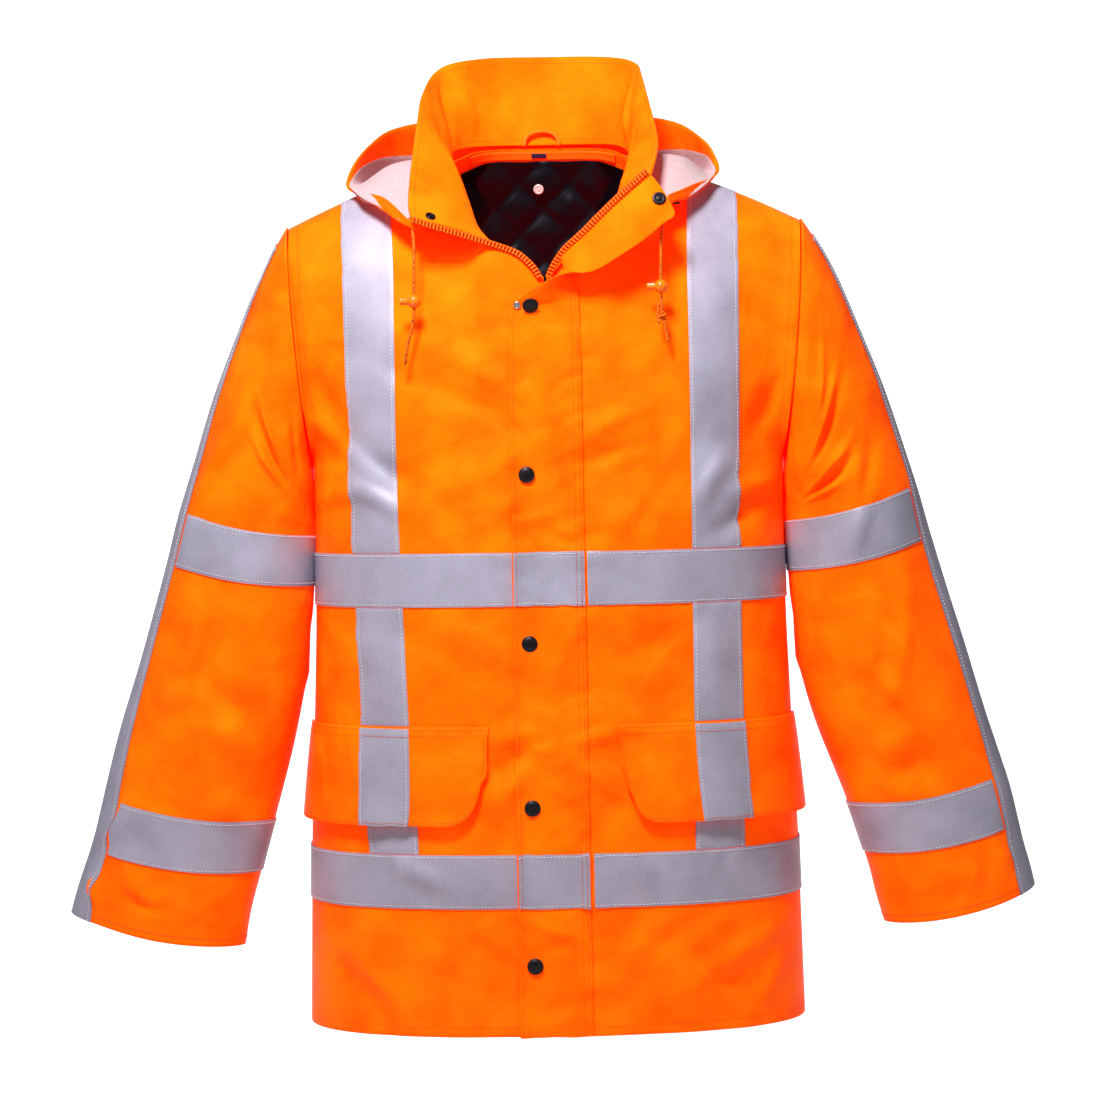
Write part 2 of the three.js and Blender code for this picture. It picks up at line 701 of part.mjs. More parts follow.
function openRow(row) {
  const [sewn, mid, free] = [0, 3, 6].map((k) => vec(row[k], row[k + 1], row[k + 2]));
  const control = mid.clone().multiplyScalar(2).sub(sewn.clone().add(free).multiplyScalar(0.5));
  return new THREE.QuadraticBezierCurve3(sewn, control, free).getPoints(6);
}

const FLAP_V = [...LOWER_V, -258, -201, -150, -126];
const flapRows = [...FLAP_V.map(flapRow), ...FLAP_TOP_ROWS.map(openRow)];
const flapAcross = spread(0, 1, 6);
const stormFlap = {
  uLines: flapAcross,
  vLines: flapRows.map((_, j) => j),
  points: flapRows,
  normals: gridNormals(flapRows, false, true),
  flip: true,
};
add("storm_flap", wall(stormFlap.points, stormFlap.normals, CLOTH, false, true), "orange");
for (const [name, row] of [["chest", LOWER_V.indexOf(-387)], ["hem", LOWER_V.indexOf(-667)]]) {
  const lines = [0.006, ...flapAcross.slice(1, -1), 0.994];
  add(
    `${name}_band_flap`,
    layOn(stormFlap, lines, [row, row + 1], straight, TAPE_LIFT, TAPE),
    "tape",
  );
}

// Collar
const alongTable = (rows, columns, u) => columns.map((_, i) => smooth(rows.map((row) => row[i]), u));
function collarPoint(u, v) {
  const [sx, sy, sz, tx, ty, tz] = alongTable(COLLAR_ROWS, COLLAR_COLUMNS, u);
  const belly = Math.sin(Math.PI * v) * 4;
  const out = vec(tx, 0, tz - 60).normalize();
  return vec(lerp(sx, tx, v) - out.x * belly, lerp(sy, ty, v), lerp(sz, tz, v) - out.z * belly * 0.4);
}
const COLLAR_U = [0, 0.5, 1, 1.6, 2.3, 3, 3.5, 4, 4.5, 5, 6, 7, 8, 9, 9.5, 10, 10.5, 11, 11.7, 12.4, 13, 13.5, 14];
const collar = makePanel(collarPoint, COLLAR_U, [0, 0.25, 0.5, 0.75, 1]);
add("collar", wall(collar.points, collar.normals, CLOTH + 0.6, false, false), "orange");

// Hood and its pale lining
function hoodPoint(u, v) {
  const values = alongTable(HOOD_ROWS, HOOD_COLUMNS, u);
  const stations = [0, 1, 2, 3].map((k) => vec(...values.slice(3 * k, 3 * k + 3)));
  return new THREE.CatmullRomCurve3(stations, false, "centripetal").getPoint(v);
}
const HALF_HOOD_U = [0, 0.6, 1.2, 1.8, 2.4, 3, 3.6, 4.3, 5, 6, 7];
const HOOD_U = [...HALF_HOOD_U, ...HALF_HOOD_U.slice(0, -1).map((u) => 14 - u).reverse()];
const HOOD_V = [0, 0.15, 0.3, 0.42, 0.55, 0.68, 0.8, 0.9, 1];
const hood = makePanel(hoodPoint, HOOD_U, HOOD_V, { flip: true });
add("hood", wall(hood.points, hood.normals, CLOTH, false, true), "orange");
const LINING_U = HOOD_U.filter((u) => u > 2 && u < 12);
const LINING_V = HOOD_V.slice(1, -3);
const hoodLiningPoints = LINING_V.map((v) =>
  LINING_U.map((u) => onPanel(hood, u, v, -CLOTH - 1.1)),
);
add(
  "hood_lining",
  wall(hoodLiningPoints, gridNormals(hoodLiningPoints, false, true), 1, false, true),
  "pale",
);

// Quilted lining behind the open neck: a diamond of stitching, puffed between the lines
const QUILT = 50;
const quiltPuff = (x, z) =>
  2.2 * Math.abs(Math.sin((Math.PI * (x + z)) / QUILT) * Math.sin((Math.PI * (x - z)) / QUILT));
const LINING = { topV: -15, bottomV: -155, side: 0.36 };
const halved = (lines) =>
  lines.flatMap((l, i) => (i === lines.length - 1 ? [l] : [l, (l + lines[i + 1]) / 2]));
const liningU = halved(between(BACK_U, -LINING.side, LINING.side));
const liningV = halved(between(BODY_V, LINING.bottomV, LINING.topV));
const liningFace = liningV.map((v) =>
  liningU.map((u) => {
    const p = onPanel(back, u, v, 0);
    return onPanel(back, u, v, -CLOTH - 3 - quiltPuff(p.x, p.z));
  }),
);
const liningBack = liningV.map((v) => liningU.map((u) => onPanel(back, u, v, -CLOTH - 0.9)));

// A closed solid between a front grid and a back grid of the same size
function between2(face, rear) {
  const normals = face.map((row, j) => row.map((p, i) => p.clone().sub(rear[j][i])));
  return wall(face, normals, 1, false, false);
}
add("quilted_lining", between2(liningFace, liningBack), "lining");

// Orange facing round the back of the neck, above the lining
const facingV = [-13, -7, -2.5];
const facingPoints = facingV.map((v) =>
  between(BACK_U, -0.3, 0.3).map((u) => onPanel(back, u, v, -CLOTH - 0.8)),
);
add(
  "neck_facing",
  wall(facingPoints.map((row) => row.map((p) => p.clone())), gridNormals(facingPoints, false, true), 1.2, false, true),
  "orangeInside",
);

// Tubes with a round or flattened section along a route
function tube(route, radius, segments, roundness) {
  const curve = new THREE.CatmullRomCurve3(route.map((p) => vec(...p)), false, "centripetal");
  const shape = new THREE.Shape();
  const corners = spread(0, 1, roundness).slice(0, -1);
  corners.forEach((t, i) => {
    const [x, y] = [radius * Math.cos(2 * Math.PI * t), radius * Math.sin(2 * Math.PI * t)];
    if (i === 0) shape.moveTo(x, y);
    else shape.lineTo(x, y);
  });
  const geometry = new THREE.ExtrudeGeometry(shape, {
    steps: segments,
    bevelEnabled: false,
    extrudePath: curve,
  });
  geometry.deleteAttribute("normal");
  geometry.deleteAttribute("uv");
  return mergeVertices(geometry, 1e-3);
}

// Zip chains along the two opened edges, a flat strip standing in front of each
const ZIP = { width: 6, thick: 1.8 };
const ZIP_RIGHT = [
  [-122, -108.6, -29.5, -0.2, -1], [-104, -105.8, -35.5, -0.2, -1], [-84, -103, -41.5, -0.25, -1],
  [-66, -100.6, -47, -0.3, -1], [-49, -98.6, -52.5, -0.4, -1], [-36, -97.6, -57, -0.5, -0.9],
  [-25, -98.5, -62, -0.6, -0.8], [-16, -99.6, -69.5, -0.75, -0.6], [-10, -100.6, -76.5, -0.85, -0.5],
  [-5.5, -101.4, -84, -0.9, -0.3],
];
const ZIP_LEFT = [
  [98.5, -92.8, 11, 0.6, -0.8], [84, -94.3, -1, 0.6, -0.8], [70, -95.8, -16.5, 0.6, -0.8],
  [57, -97.4, -31, 0.65, -0.75], [46, -98.4, -44, 0.7, -0.7], [32, -97.8, -55, 0.75, -0.65],
  [20, -97.8, -63.5, 0.8, -0.6], [12, -98.6, -71, 0.85, -0.5], [6.5, -99.6, -77.5, 0.9, -0.4],
  [3.2, -100.6, -84.5, 0.9, -0.3],
];

function strip(rows, width, thick) {
  const face = [];
  for (const t of spread(-0.5, 0.5, 1)) {
    face.push(rows.map(([x, y, z, dx, dz]) => {
      const across = vec(dx, 0, dz).normalize();
      return vec(x, y, z).addScaledVector(across, t * width);
    }));
  }
  const rear = face.map((row) => row.map((p) => p.clone().add(vec(0, thick, 0))));
  return [face, rear];
}

function solidStrip(rows, width, thick) {
  const [face, rear] = strip(rows, width, thick);
  const geometry = between2(face, rear);
  return outward(geometry);
}

// Turns a closed mesh inside out if its volume comes out negative
function outward(geometry) {
  const p = geometry.getAttribute("position");
  const index = geometry.index.array;
  let volume = 0;
  for (let i = 0; i < index.length; i += 3) {
    const [a, b, c] = [0, 1, 2].map((k) => new THREE.Vector3().fromBufferAttribute(p, index[i + k]));
    volume += a.dot(b.cross(c)) / 6;
  }
  if (volume < 0) {
    for (let i = 0; i < index.length; i += 3) {
      [index[i + 1], index[i + 2]] = [index[i + 2], index[i + 1]];
    }
  }
  return geometry;
}

add("zip_right", solidStrip(ZIP_RIGHT, ZIP.width, ZIP.thick), "orange");
add("zip_left", solidStrip(ZIP_LEFT, ZIP.width, ZIP.thick), "orange");

// Snaps: a low domed disc with its axis along a direction
function snap(name, size, place, direction, look, dished = false) {
  const { radius, thick } = size;
  const profile = dished
    ? [[0, 0], [radius, 0], [radius, thick * 0.7], [radius * 0.85, thick], [radius * 0.55, thick], [radius * 0.45, thick * 0.5], [0, thick * 0.5]]
    : [[0, 0], [radius, 0], [radius, thick * 0.45], [radius * 0.8, thick * 0.9], [0, thick]];
  const geometry = new THREE.LatheGeometry(profile.map(([x, y]) => new THREE.Vector2(x, y)), 14);
  geometry.deleteAttribute("normal");
  geometry.deleteAttribute("uv");
  const merged = mergeVertices(geometry, 1e-3);
  const turn = new THREE.Quaternion().setFromUnitVectors(vec(0, 1, 0), direction.clone().normalize());
  merged.applyQuaternion(turn);
  merged.translate(place.x, place.y, place.z);
  add(name, merged, look);
}

const CAP_HEIGHTS = [-725, -579, -427, -270];
CAP_HEIGHTS.forEach((z, i) => {
  const v = z + BAND_SAG;
  const u = (FLAP_RIGHT_X + 20.5) / (FLAP_RIGHT_X - FLAP_LEFT_X);
  const rows = FLAP_V;
  let j = 0;
  while (rows[j + 1] < v) j++;
  const place = onPanel(stormFlap, u, j + (v - rows[j]) / (rows[j + 1] - rows[j]), SEAM);
  snap(`snap_cap_${i + 1}`, CAP, place, vec(0, -1, 0.02), "gunmetal");
});
const flapOutside = (u, v, lift) => [
  onPanel(stormFlap, u, v, lift),
  onPanel(stormFlap, u, v, 1).sub(onPanel(stormFlap, u, v, 0)),
];
snap("snap_cap_5", CAP, ...flapOutside(0.7, FLAP_V.length + 0.1, 3.7), "gunmetal");
snap("flap_stud", { radius: 3.5, thick: 1.6 }, ...flapOutside(0.93, FLAP_V.length + 0.25, 1), "steel", true);
const collarAt = (u, v) => [onPanel(collar, u, v, SEAM), onPanel(collar, u, v, 1).sub(onPanel(collar, u, v, 0))];
snap("collar_stud", STUD, ...collarAt(0.42, 0.76), "gunmetal", true);
const flapTop = FLAP_V.length + FLAP_TOP_ROWS.length - 1;
const flapInside = (u, v) => [
  onPanel(stormFlap, u, v, -CLOTH - SEAM),
  onPanel(stormFlap, u, v, -1).sub(onPanel(stormFlap, u, v, 0)),
];
snap("flap_socket", SOCKET, ...flapInside(0.55, flapTop - 0.45), "gunmetal", true);
const onBackInside = (u, v, depth) => [onPanel(back, u, v, -depth), onPanel(back, u, v, -1).sub(onPanel(back, u, v, 0))];
snap("lining_snap", { radius: 5, thick: 1.8 }, ...onBackInside(-0.02, -30, CLOTH + 5.4), "steel", true);

// Hanger loop and the blank label below it
const LOOP = { width: 34, height: 14, thick: 4 };
add(
  "hanger_loop",
  tube(
    [
      [-18, 70, 60], [-17.5, 71, 66], [-14, 72.4, 71], [-8, 73.2, 74], [0, 73.7, 75],
      [7, 73.2, 74], [12.5, 72.4, 71], [15.5, 71, 66], [16, 70, 60],
    ],
    LOOP.thick / 2,
    10,
    8,
  ),
  "orangeInside",
);
const labelDepth = CLOTH + 0.8 + 1.2 + 0.4; // behind the cloth and the facing
const labelAt = (depth) =>
  [-8.5, -3.4].map((v) => [-0.046, -0.016, 0.014].map((u) => onPanel(back, u, v, -depth)));
add("label", outward(between2(labelAt(labelDepth + 0.8), labelAt(labelDepth))), "navy");

// Drawcords, their locks and the knot
const CORD_RIGHT_ROUTE = [
  [-123.5, -91.4, -37.4], [-122.5, -98, -47], [-122, -103, -62], [-122.5, -106, -80], [-122.5, -108, -100],
  [-123, -109.5, -118], [-125, -110, -132], [-129, -109.5, -146], [-132, -109, -165],
];
const CORD_LEFT_ROUTE = [
  [114, -84.8, -16.4], [111, -94.5, -33], [109, -102, -54], [108.5, -106, -72], [108, -108, -90],
  [108, -109, -104], [108.5, -109.5, -118], [110, -110, -128], [112, -110, -138], [114, -110, -148],
];
const CORD_LEFT_STRAND = [
  [105.4, -110, -111], [104.8, -110.5, -118], [105, -111, -125], [106, -111.5, -131],
];
add("drawcord_right", tube(CORD_RIGHT_ROUTE, CORD_RADIUS, 18, 8), "cord");
add("drawcord_left", tube(CORD_LEFT_ROUTE, CORD_RADIUS, 18, 8), "cord");
add("drawcord_left_strand", tube(CORD_LEFT_STRAND, CORD_RADIUS, 4, 8), "cord");

// A ball lock: the ball with its push barrel on one side, bored for the cord that runs through it
const wasm = await Module();
wasm.setup();

function toManifold(geometry) {
  const g = geometry.clone();
  g.deleteAttribute("normal");
  g.deleteAttribute("uv");
  const merged = mergeVertices(g, 1e-4);
  return new wasm.Manifold(
    new wasm.Mesh({
      numProp: 3,
      vertProperties: new Float32Array(merged.getAttribute("position").array),
      triVerts: new Uint32Array(merged.index.array),
    }),
  );
}

function toGeometry(solid) {
  const mesh = solid.getMesh();
  const geometry = new THREE.BufferGeometry();
  const count = mesh.vertProperties.length / mesh.numProp;
  const positions = new Float32Array(count * 3);
  for (let i = 0; i < count; i++) {
    for (let k = 0; k < 3; k++) positions[i * 3 + k] = mesh.vertProperties[i * mesh.numProp + k];
  }
  geometry.setAttribute("position", new THREE.BufferAttribute(positions, 3));
  geometry.setIndex([...mesh.triVerts]);
  return geometry;
}

function cordLock(name, [x, y, z], routes) {
  const ball = new THREE.SphereGeometry(LOCK_BALL, 12, 8);
  const barrel = new THREE.CylinderGeometry(3.6, 3.6, 13, 10);
  barrel.rotateZ(Math.PI / 2);
  barrel.translate(-7.5, 0, -1.5);
  const body = toManifold(ball).add(toManifold(barrel)).translate([x, y, z]);
  const bored = routes.reduce(
    (solid, route) => solid.subtract(toManifold(tube(route, CORD_RADIUS + SEAM, 9, 8))),
    body,
  );
  add(name, toGeometry(bored), "cord");
}
cordLock("cord_lock_right", [-122.6, -109, -106], [CORD_RIGHT_ROUTE]);
cordLock("cord_lock_left", [108, -109, -96], [CORD_LEFT_ROUTE, CORD_LEFT_STRAND]);

// The knot that joins the two strands below the left lock
const knot = toManifold(new THREE.SphereGeometry(3.6, 8, 6).scale(1, 1, 1.1))
  .translate([109, -110.2, -124.5])
  .subtract(toManifold(tube(CORD_LEFT_ROUTE, CORD_RADIUS + SEAM, 9, 8)))
  .subtract(toManifold(tube(CORD_LEFT_STRAND, CORD_RADIUS + SEAM, 4, 8)));
add("cord_knot", toGeometry(knot), "cord");

// A small snap holds the end of the hood beside the left collar
snap(
  "hood_snap",
  SMALL_SNAP,
  onPanel(hood, 13.4, 0.62, SEAM + 0.5),
  onPanel(hood, 13.4, 0.62, 1).sub(onPanel(hood, 13.4, 0.62, 0)),
  "gunmetal",
);
jacket.updateMatrixWorld(true);

export default jacket;
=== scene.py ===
"""Looks of the hi-vis work jacket: finer cloth, tape, stitching, zip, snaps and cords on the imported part.

Sizes in the tables are millimetres; meshes are made in metres. +Z is up and the front faces -Y.
"""

import json
import math

import bpy
from mathutils import Matrix, Vector, noise

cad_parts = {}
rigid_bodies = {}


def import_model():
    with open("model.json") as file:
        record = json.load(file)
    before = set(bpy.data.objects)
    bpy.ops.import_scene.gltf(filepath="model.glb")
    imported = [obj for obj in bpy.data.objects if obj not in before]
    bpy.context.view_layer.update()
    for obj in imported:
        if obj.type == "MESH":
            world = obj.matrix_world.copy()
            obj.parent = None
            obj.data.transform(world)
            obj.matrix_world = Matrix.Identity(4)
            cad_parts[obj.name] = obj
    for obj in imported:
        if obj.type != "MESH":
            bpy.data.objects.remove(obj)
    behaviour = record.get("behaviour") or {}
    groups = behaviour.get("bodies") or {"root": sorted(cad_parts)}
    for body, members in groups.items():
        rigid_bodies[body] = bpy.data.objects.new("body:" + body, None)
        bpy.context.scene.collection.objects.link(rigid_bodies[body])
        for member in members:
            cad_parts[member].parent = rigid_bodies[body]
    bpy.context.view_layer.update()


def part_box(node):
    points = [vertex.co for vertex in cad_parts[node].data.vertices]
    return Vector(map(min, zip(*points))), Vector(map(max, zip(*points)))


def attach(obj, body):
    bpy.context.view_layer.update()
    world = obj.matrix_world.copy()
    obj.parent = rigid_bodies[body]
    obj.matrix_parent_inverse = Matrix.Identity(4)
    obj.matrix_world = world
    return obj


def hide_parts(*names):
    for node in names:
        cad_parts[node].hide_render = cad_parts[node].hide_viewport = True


bl_info = {
    "name": "Hi-vis work jacket",
    "version": (1, 0, 0),
    "blender": (4, 5, 0),
    "location": "3D View > Sidebar > Jacket",
    "description": "Builds a worn hi-vis work jacket piece by piece",
    "category": "Object",
}

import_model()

MM = 0.001

# Body sections, from the hem up to the underarm: height at the side, half width, front, back
BODY_ROWS = [
    (-786, 238, 129, 105),
    (-667, 235.5, 130, 108),
    (-617, 234.5, 130, 109),
    (-500, 230, 127, 110),
    (-390, 226.5, 124, 112),
    (-340, 226, 122, 112),
    (-258, 226, 118, 112),
]
UNDERARM_Z = -258
SIDE_POWER = 2.5
BAND_SAG = 5
ARMHOLE = {"top_x": 246, "bottom_x": 226, "depth": 72}
CHEST_BAND = (-387, -337)
HEM_BAND = (-667, -617)
TAPE_WIDTH = 50

# Top edges: place across, depth, height
FRONT_TOP = [
    (0.006, -95, -84),
    (0.05, -94, -72),
    (0.1, -93, -60),
    (0.2, -92, -53),
    (0.245, -78, -38),
    (0.285, -50, -13),
    (0.317, -20, 14),
    (0.36, 5, 38),
    (0.49, 4, 28),
    (0.79, 1, 0),
    (1, 0, -24),
]
BACK_TOP = [
    (0, 74, 58),
    (0.12, 72, 58),
    (0.2, 66, 57),
    (0.28, 48, 52),
    (0.335, 20, 42),
    (0.36, 5, 38),
    (0.49, 4, 28),
    (0.79, 1, 0),
    (1, 0, -24),
]

# Sleeve sections: outer point x and z, inner point x and z, half depth, y of the middle
SLEEVE_RIGHT = [
    (248.6, -23.5, 228.3, -258, 72, 0),
    (260, -43, 227.6, -265, 74, 0),
    (271, -65, 226.4, -272, 75, 0),
    (285, -95, 225.6, -281, 76, 0),
    (301, -134, 225.2, -292, 76, -1),
    (319, -182, 225, -303, 75, -2),
    (336, -234, 225.2, -313, 73, -3),
    (355, -295, 225.8, -322, 71, -4),
    (368, -345, 229, -370, 69, -6),
    (391, -420, 235, -446, 67, -9),
    (413, -496, 247, -512, 64, -12),
    (432, -567, 269, -593, 60, -14),
    (445.5, -616, 282, -642, 57, -15),
    (456, -652, 292, -681, 55, -16),
    (463.5, -679, 300, -713, 53, -16),
]
SLEEVE_LEFT = [
    (248.6, -23.5, 228.3, -258, 72, 0),
    (261, -43, 227.6, -265, 74, 0),
    (272, -62, 226.4, -272, 75, 0),
    (287, -93, 225.6, -281, 76, 0),
    (303, -132, 225.2, -292, 76, -1),
    (321, -180, 225, -302, 75, -2),
    (338, -232, 225.2, -309, 73, -3),
    (353, -282, 225.8, -316, 71, -4),
    (366, -333, 229.4, -364, 69, -6),
    (389, -412, 236, -440, 67, -9),
    (411, -486, 250, -506, 64, -12),
    (433, -559.5, 282, -586, 60, -14),
    (444, -607.5, 297, -634, 57, -15),
    (452.5, -642, 306, -672, 55, -16),
    (459.5, -669, 315, -702, 53, -16),
]

# Stand collar from the right front edge round to the left: seam x, y, z and top edge x, y, z
COLLAR_ROWS = [
    (-50, -96, -50, -124, -106, -27),
    (-62, -82, -34, -127, -88, -9),
    (-70, -52, -9, -125, -42, 34),
    (-79, -22, 19.5, -120, -6, 78),
    (-88, 12, 45, -115, 25, 109),
    (-78, 48, 56.5, -99, 60, 138),
    (-50, 67.5, 61, -60, 84, 150),
    (0, 75.5, 62, 0, 92, 152),
    (50, 67.5, 61, 60, 84, 150),
    (74, 48, 56.5, 90, 60, 141),
    (84, 14, 43, 97, 30, 122),
    (77, -20, 20, 106, 0, 82),
    (68, -52, -8, 110, -32, 52),
    (58, -82, -30, 106, -66, 30),
    (48, -96, -44, 101, -90, 13),
]

# Hood: the neck, the floor of the bag, its belly and its rim, each x, y, z
HOOD_ROWS = [
    (-96, -72, -25.6, -108, -86, -31.6, -122, -90, -37.6, -126, -88, -29.6),
    (-92, -44, 0.4, -118, -66, -11.6, -148, -66, -19.6, -154, -58, -1.6),
    (-96, -14, 28.4, -140, -34, 17.4, -176, -30, 4.4, -188, -14, 10.4),
    (-100, 14, 43.4, -146, 20, 34.4, -180, 26, 18.4, -187, 16, 34.4),
    (-92, 50, 56.4, -142, 88, 0.4, -168, 84, 18.4, -172, 50, 60.4),
    (-70, 74, 60.4, -106, 124, -39.6, -134, 134, 4.4, -148, 88, 82.4),
    (-38, 84, 63.4, -58, 134, -65.6, -76, 164, -13.6, -96, 118, 94.4),
    (0, 88, 64.4, 0, 136, -75.6, 0, 174, -17.6, 0, 134, 94.4),
    (38, 84, 63.4, 58, 134, -65.6, 74, 164, -13.6, 90, 118, 94.4),
    (70, 74, 60.4, 104, 124, -39.6, 126, 132, 4.4, 132, 88, 84.4),
    (90, 50, 56.4, 132, 86, 4.4, 152, 82, 22.4, 156, 50, 63.4),
    (98, 14, 43.4, 136, 18, 36.4, 160, 22, 24.4, 166, 14, 44.4),
    (95, -14, 29.4, 130, -30, 20.4, 158, -30, 10.4, 169, -14, 20.4),
    (90, -42, 5.4, 118, -60, -3.6, 136, -62, -9.6, 142, -56, 4.4),
    (90, -66, -15.6, 104, -78, -17.6, 114, -84, -15.6, 119, -82, -7.6),
]

# Storm flap where it turns open: sewn edge, middle and free edge, each x, y, z
FLAP_TOP_ROWS = [
    (31, -109.5, -106, -2, -113, -112, -33, -112.5, -114),
    (29, -108, -96, 2, -116, -106, -24, -117, -104),
    (25, -106.5, -86, 9, -119, -94, -6, -122, -94),
    (20, -105, -77, 17, -120, -84, 16, -126, -84),
    (16, -102.5, -69, 28, -119, -76, 43, -125, -83),
    (19, -100, -61, 41, -114, -64, 70, -120, -68),
    (32, -100, -50, 58, -112, -49, 94, -115, -52),
    (50, -100, -33, 78, -109, -34, 112, -110, -37),
    (76, -98, -9, 98, -105, -18, 120, -107, -32),
    (100, -96, 11, 113, -101, -8, 122, -105, -27),
]

# Zip chains: x, y, z and the direction across in x and z
ZIP_RIGHT = [
    (-122, -108.6, -29.5, -0.2, -1),
    (-104, -105.8, -35.5, -0.2, -1),
    (-84, -103, -41.5, -0.25, -1),
    (-66, -100.6, -47, -0.3, -1),
    (-49, -98.6, -52.5, -0.4, -1),
    (-36, -97.6, -57, -0.5, -0.9),
    (-25, -98.5, -62, -0.6, -0.8),
    (-16, -99.6, -69.5, -0.75, -0.6),
    (-10, -100.6, -76.5, -0.85, -0.5),
    (-5.5, -101.4, -84, -0.9, -0.3),
]
ZIP_LEFT = [
    (97, -99.5, 13, 0.6, -0.8),
    (74, -101.5, -7, 0.6, -0.8),
    (60, -102.5, -20, 0.6, -0.8),
    (47.5, -103.5, -32, 0.65, -0.75),
    (38, -104, -41.5, 0.7, -0.7),
    (28.5, -104, -50, 0.75, -0.65),
    (19, -103.5, -58.5, 0.8, -0.6),
    (12.5, -103, -67, 0.85, -0.5),
    (7, -102.3, -76, 0.9, -0.4),
    (3.2, -101.6, -84.5, 0.9, -0.3),
]

# Drawcord routes, as in the part
CORD_RIGHT_ROUTE = [
    (-123.5, -91.4, -37.4),
    (-122.5, -98, -47),
    (-122, -103, -62),
    (-122.5, -106, -80),
    (-122.5, -108, -100),
    (-123, -109.5, -118),
    (-125, -110, -132),
    (-129, -109.5, -146),
    (-132, -109, -165),
]
CORD_LEFT_ROUTE = [
    (114, -84.8, -16.4),
    (111, -94.5, -33),
    (109, -102, -54),
    (108.5, -106, -72),
    (108, -108, -90),
    (108, -109, -104),
    (108.5, -109.5, -118),
    (110, -110, -128),
    (112, -110, -138),
    (114, -110, -148),
]
CORD_LEFT_STRAND = [
    (105.4, -110, -111),
    (104.8, -110.5, -118),
    (105, -111, -125),
    (106, -111.5, -131),
]


def lerp(a, b, t):
    return a + (b - a) * t


def spread(start, end, count):
    return [start + (end - start) * i / count for i in range(count + 1)]


def look_up(rows, key, column):
    """A smooth value from a table whose first column rises."""
    if key <= rows[0][0]:
        return rows[0][column]
    if key >= rows[-1][0]:
        return rows[-1][column]
    i = 1
    while key > rows[i][0]:
        i += 1
    a, b = rows[i - 1], rows[i]
    span = b[0] - a[0]

    def slope(k):
        if k == 0 or k == len(rows) - 1:
            j = 0 if k == 0 else k - 1
            return (rows[j + 1][column] - rows[j][column]) / (rows[j + 1][0] - rows[j][0])
        p, q, r = rows[k - 1], rows[k], rows[k + 1]
        s0 = (q[column] - p[column]) / (q[0] - p[0])
        s1 = (r[column] - q[column]) / (r[0] - q[0])
        return 0 if s0 * s1 <= 0 else 2 * s0 * s1 / (s0 + s1)

    t = (key - a[0]) / span
    h = t * t * (3 - 2 * t)
    return lerp(a[column], b[column], h) + span * t * (1 - t) * (
        (1 - t) * slope(i - 1) - t * slope(i)
    )


def smooth(values, t):
    """A smooth curve value through evenly spaced numbers, at place t counted in steps."""
    last = len(values) - 1
    i = min(max(int(math.floor(t)), 0), last - 1)
    f = t - i
    b, c = values[i], values[i + 1]
    a = values[i - 1] if i > 0 else 2 * b - c
    d = values[i + 2] if i + 2 <= last else 2 * c - b
    return b + 0.5 * f * (c - a + f * (2 * a - 5 * b + 4 * c - d + f * (3 * (b - c) + d - a)))


def along(rows, t):
    return [smooth([row[i] for row in rows], t) for i in range(len(rows[0]))]


# Creases: x, z, angle in degrees from upright, length, width, depth (a ridge is positive)
FRONT_CREASES = {
    "right": [
        (-83, -196, -65, 105, 11, -2.6),
        (-67, -170, -62, 80, 10, 2.4),
        (-74, -275, 63, 95, 12, 2.0),
        (-95, -250, 60, 80, 11, -1.8),
        (-44, -303, 55, 30, 6, 1.7),
        (-204, -286, 80, 34, 8, 3.0),
        (-208, -196, -30, 44, 10, -3.0),
        (-198, -236, -48, 44, 9, 2.6),
        (-162, -289, -60, 38, 8, 2.8),
        (-150, -262, -52, 40, 9, -2.4),
        (-86, -442, -65, 85, 12, -1.8),
        (-60, -425, -60, 70, 10, 1.5),
        (-42, -514, 80, 30, 6, 2.4),
        (-46, -539, 60, 40, 7, -2.2),
        (-42, -562, 45, 36, 7, 2.0),
        (-140, -470, 12, 60, 14, 1.6),
        (-183, -743, -30, 66, 12, -3.0),
        (-196, -716, -42, 50, 10, 2.4),
        (-56, -703, -60, 48, 9, 2.0),
        (-120, -735, 18, 60, 13, 1.8),
        (-125, -641, -70, 36, 8, 2.2),
        (-90, -690, -48, 60, 12, -1.8),
    ],
    "left": [
        (60, -221, 65, 60, 9, 2.4),
        (58, -252, 72, 48, 8, -2.0),
        (60, -310, -50, 42, 8, 2.2),
        (97, -280, 35, 90, 12, 2.0),
        (118, -262, 34, 80, 12, -1.8),
        (204, -280, 75, 44, 9, 3.2),
        (180, -312, 60, 44, 9, -2.8),
        (206, -210, 28, 44, 10, -3.0),
        (153, -275, 30, 38, 9, 2.6),
        (44, -514, 80, 30, 6, 2.4),
        (46, -557, -50, 42, 7, 2.0),
        (46, -590, 30, 36, 7, -2.0),
        (150, -455, -8, 70, 14, 1.8),
        (90, -430, 58, 70, 12, -1.6),
        (174, -717, 60, 70, 12, 3.4),
        (139, -733, -55, 80, 12, -3.2),
        (199, -752, 35, 50, 10, 2.6),
        (79, -641, -15, 42, 9, 2.4),
        (70, -720, 40, 60, 12, 1.8),
        (110, -700, 62, 60, 11, -1.8),
    ],
}
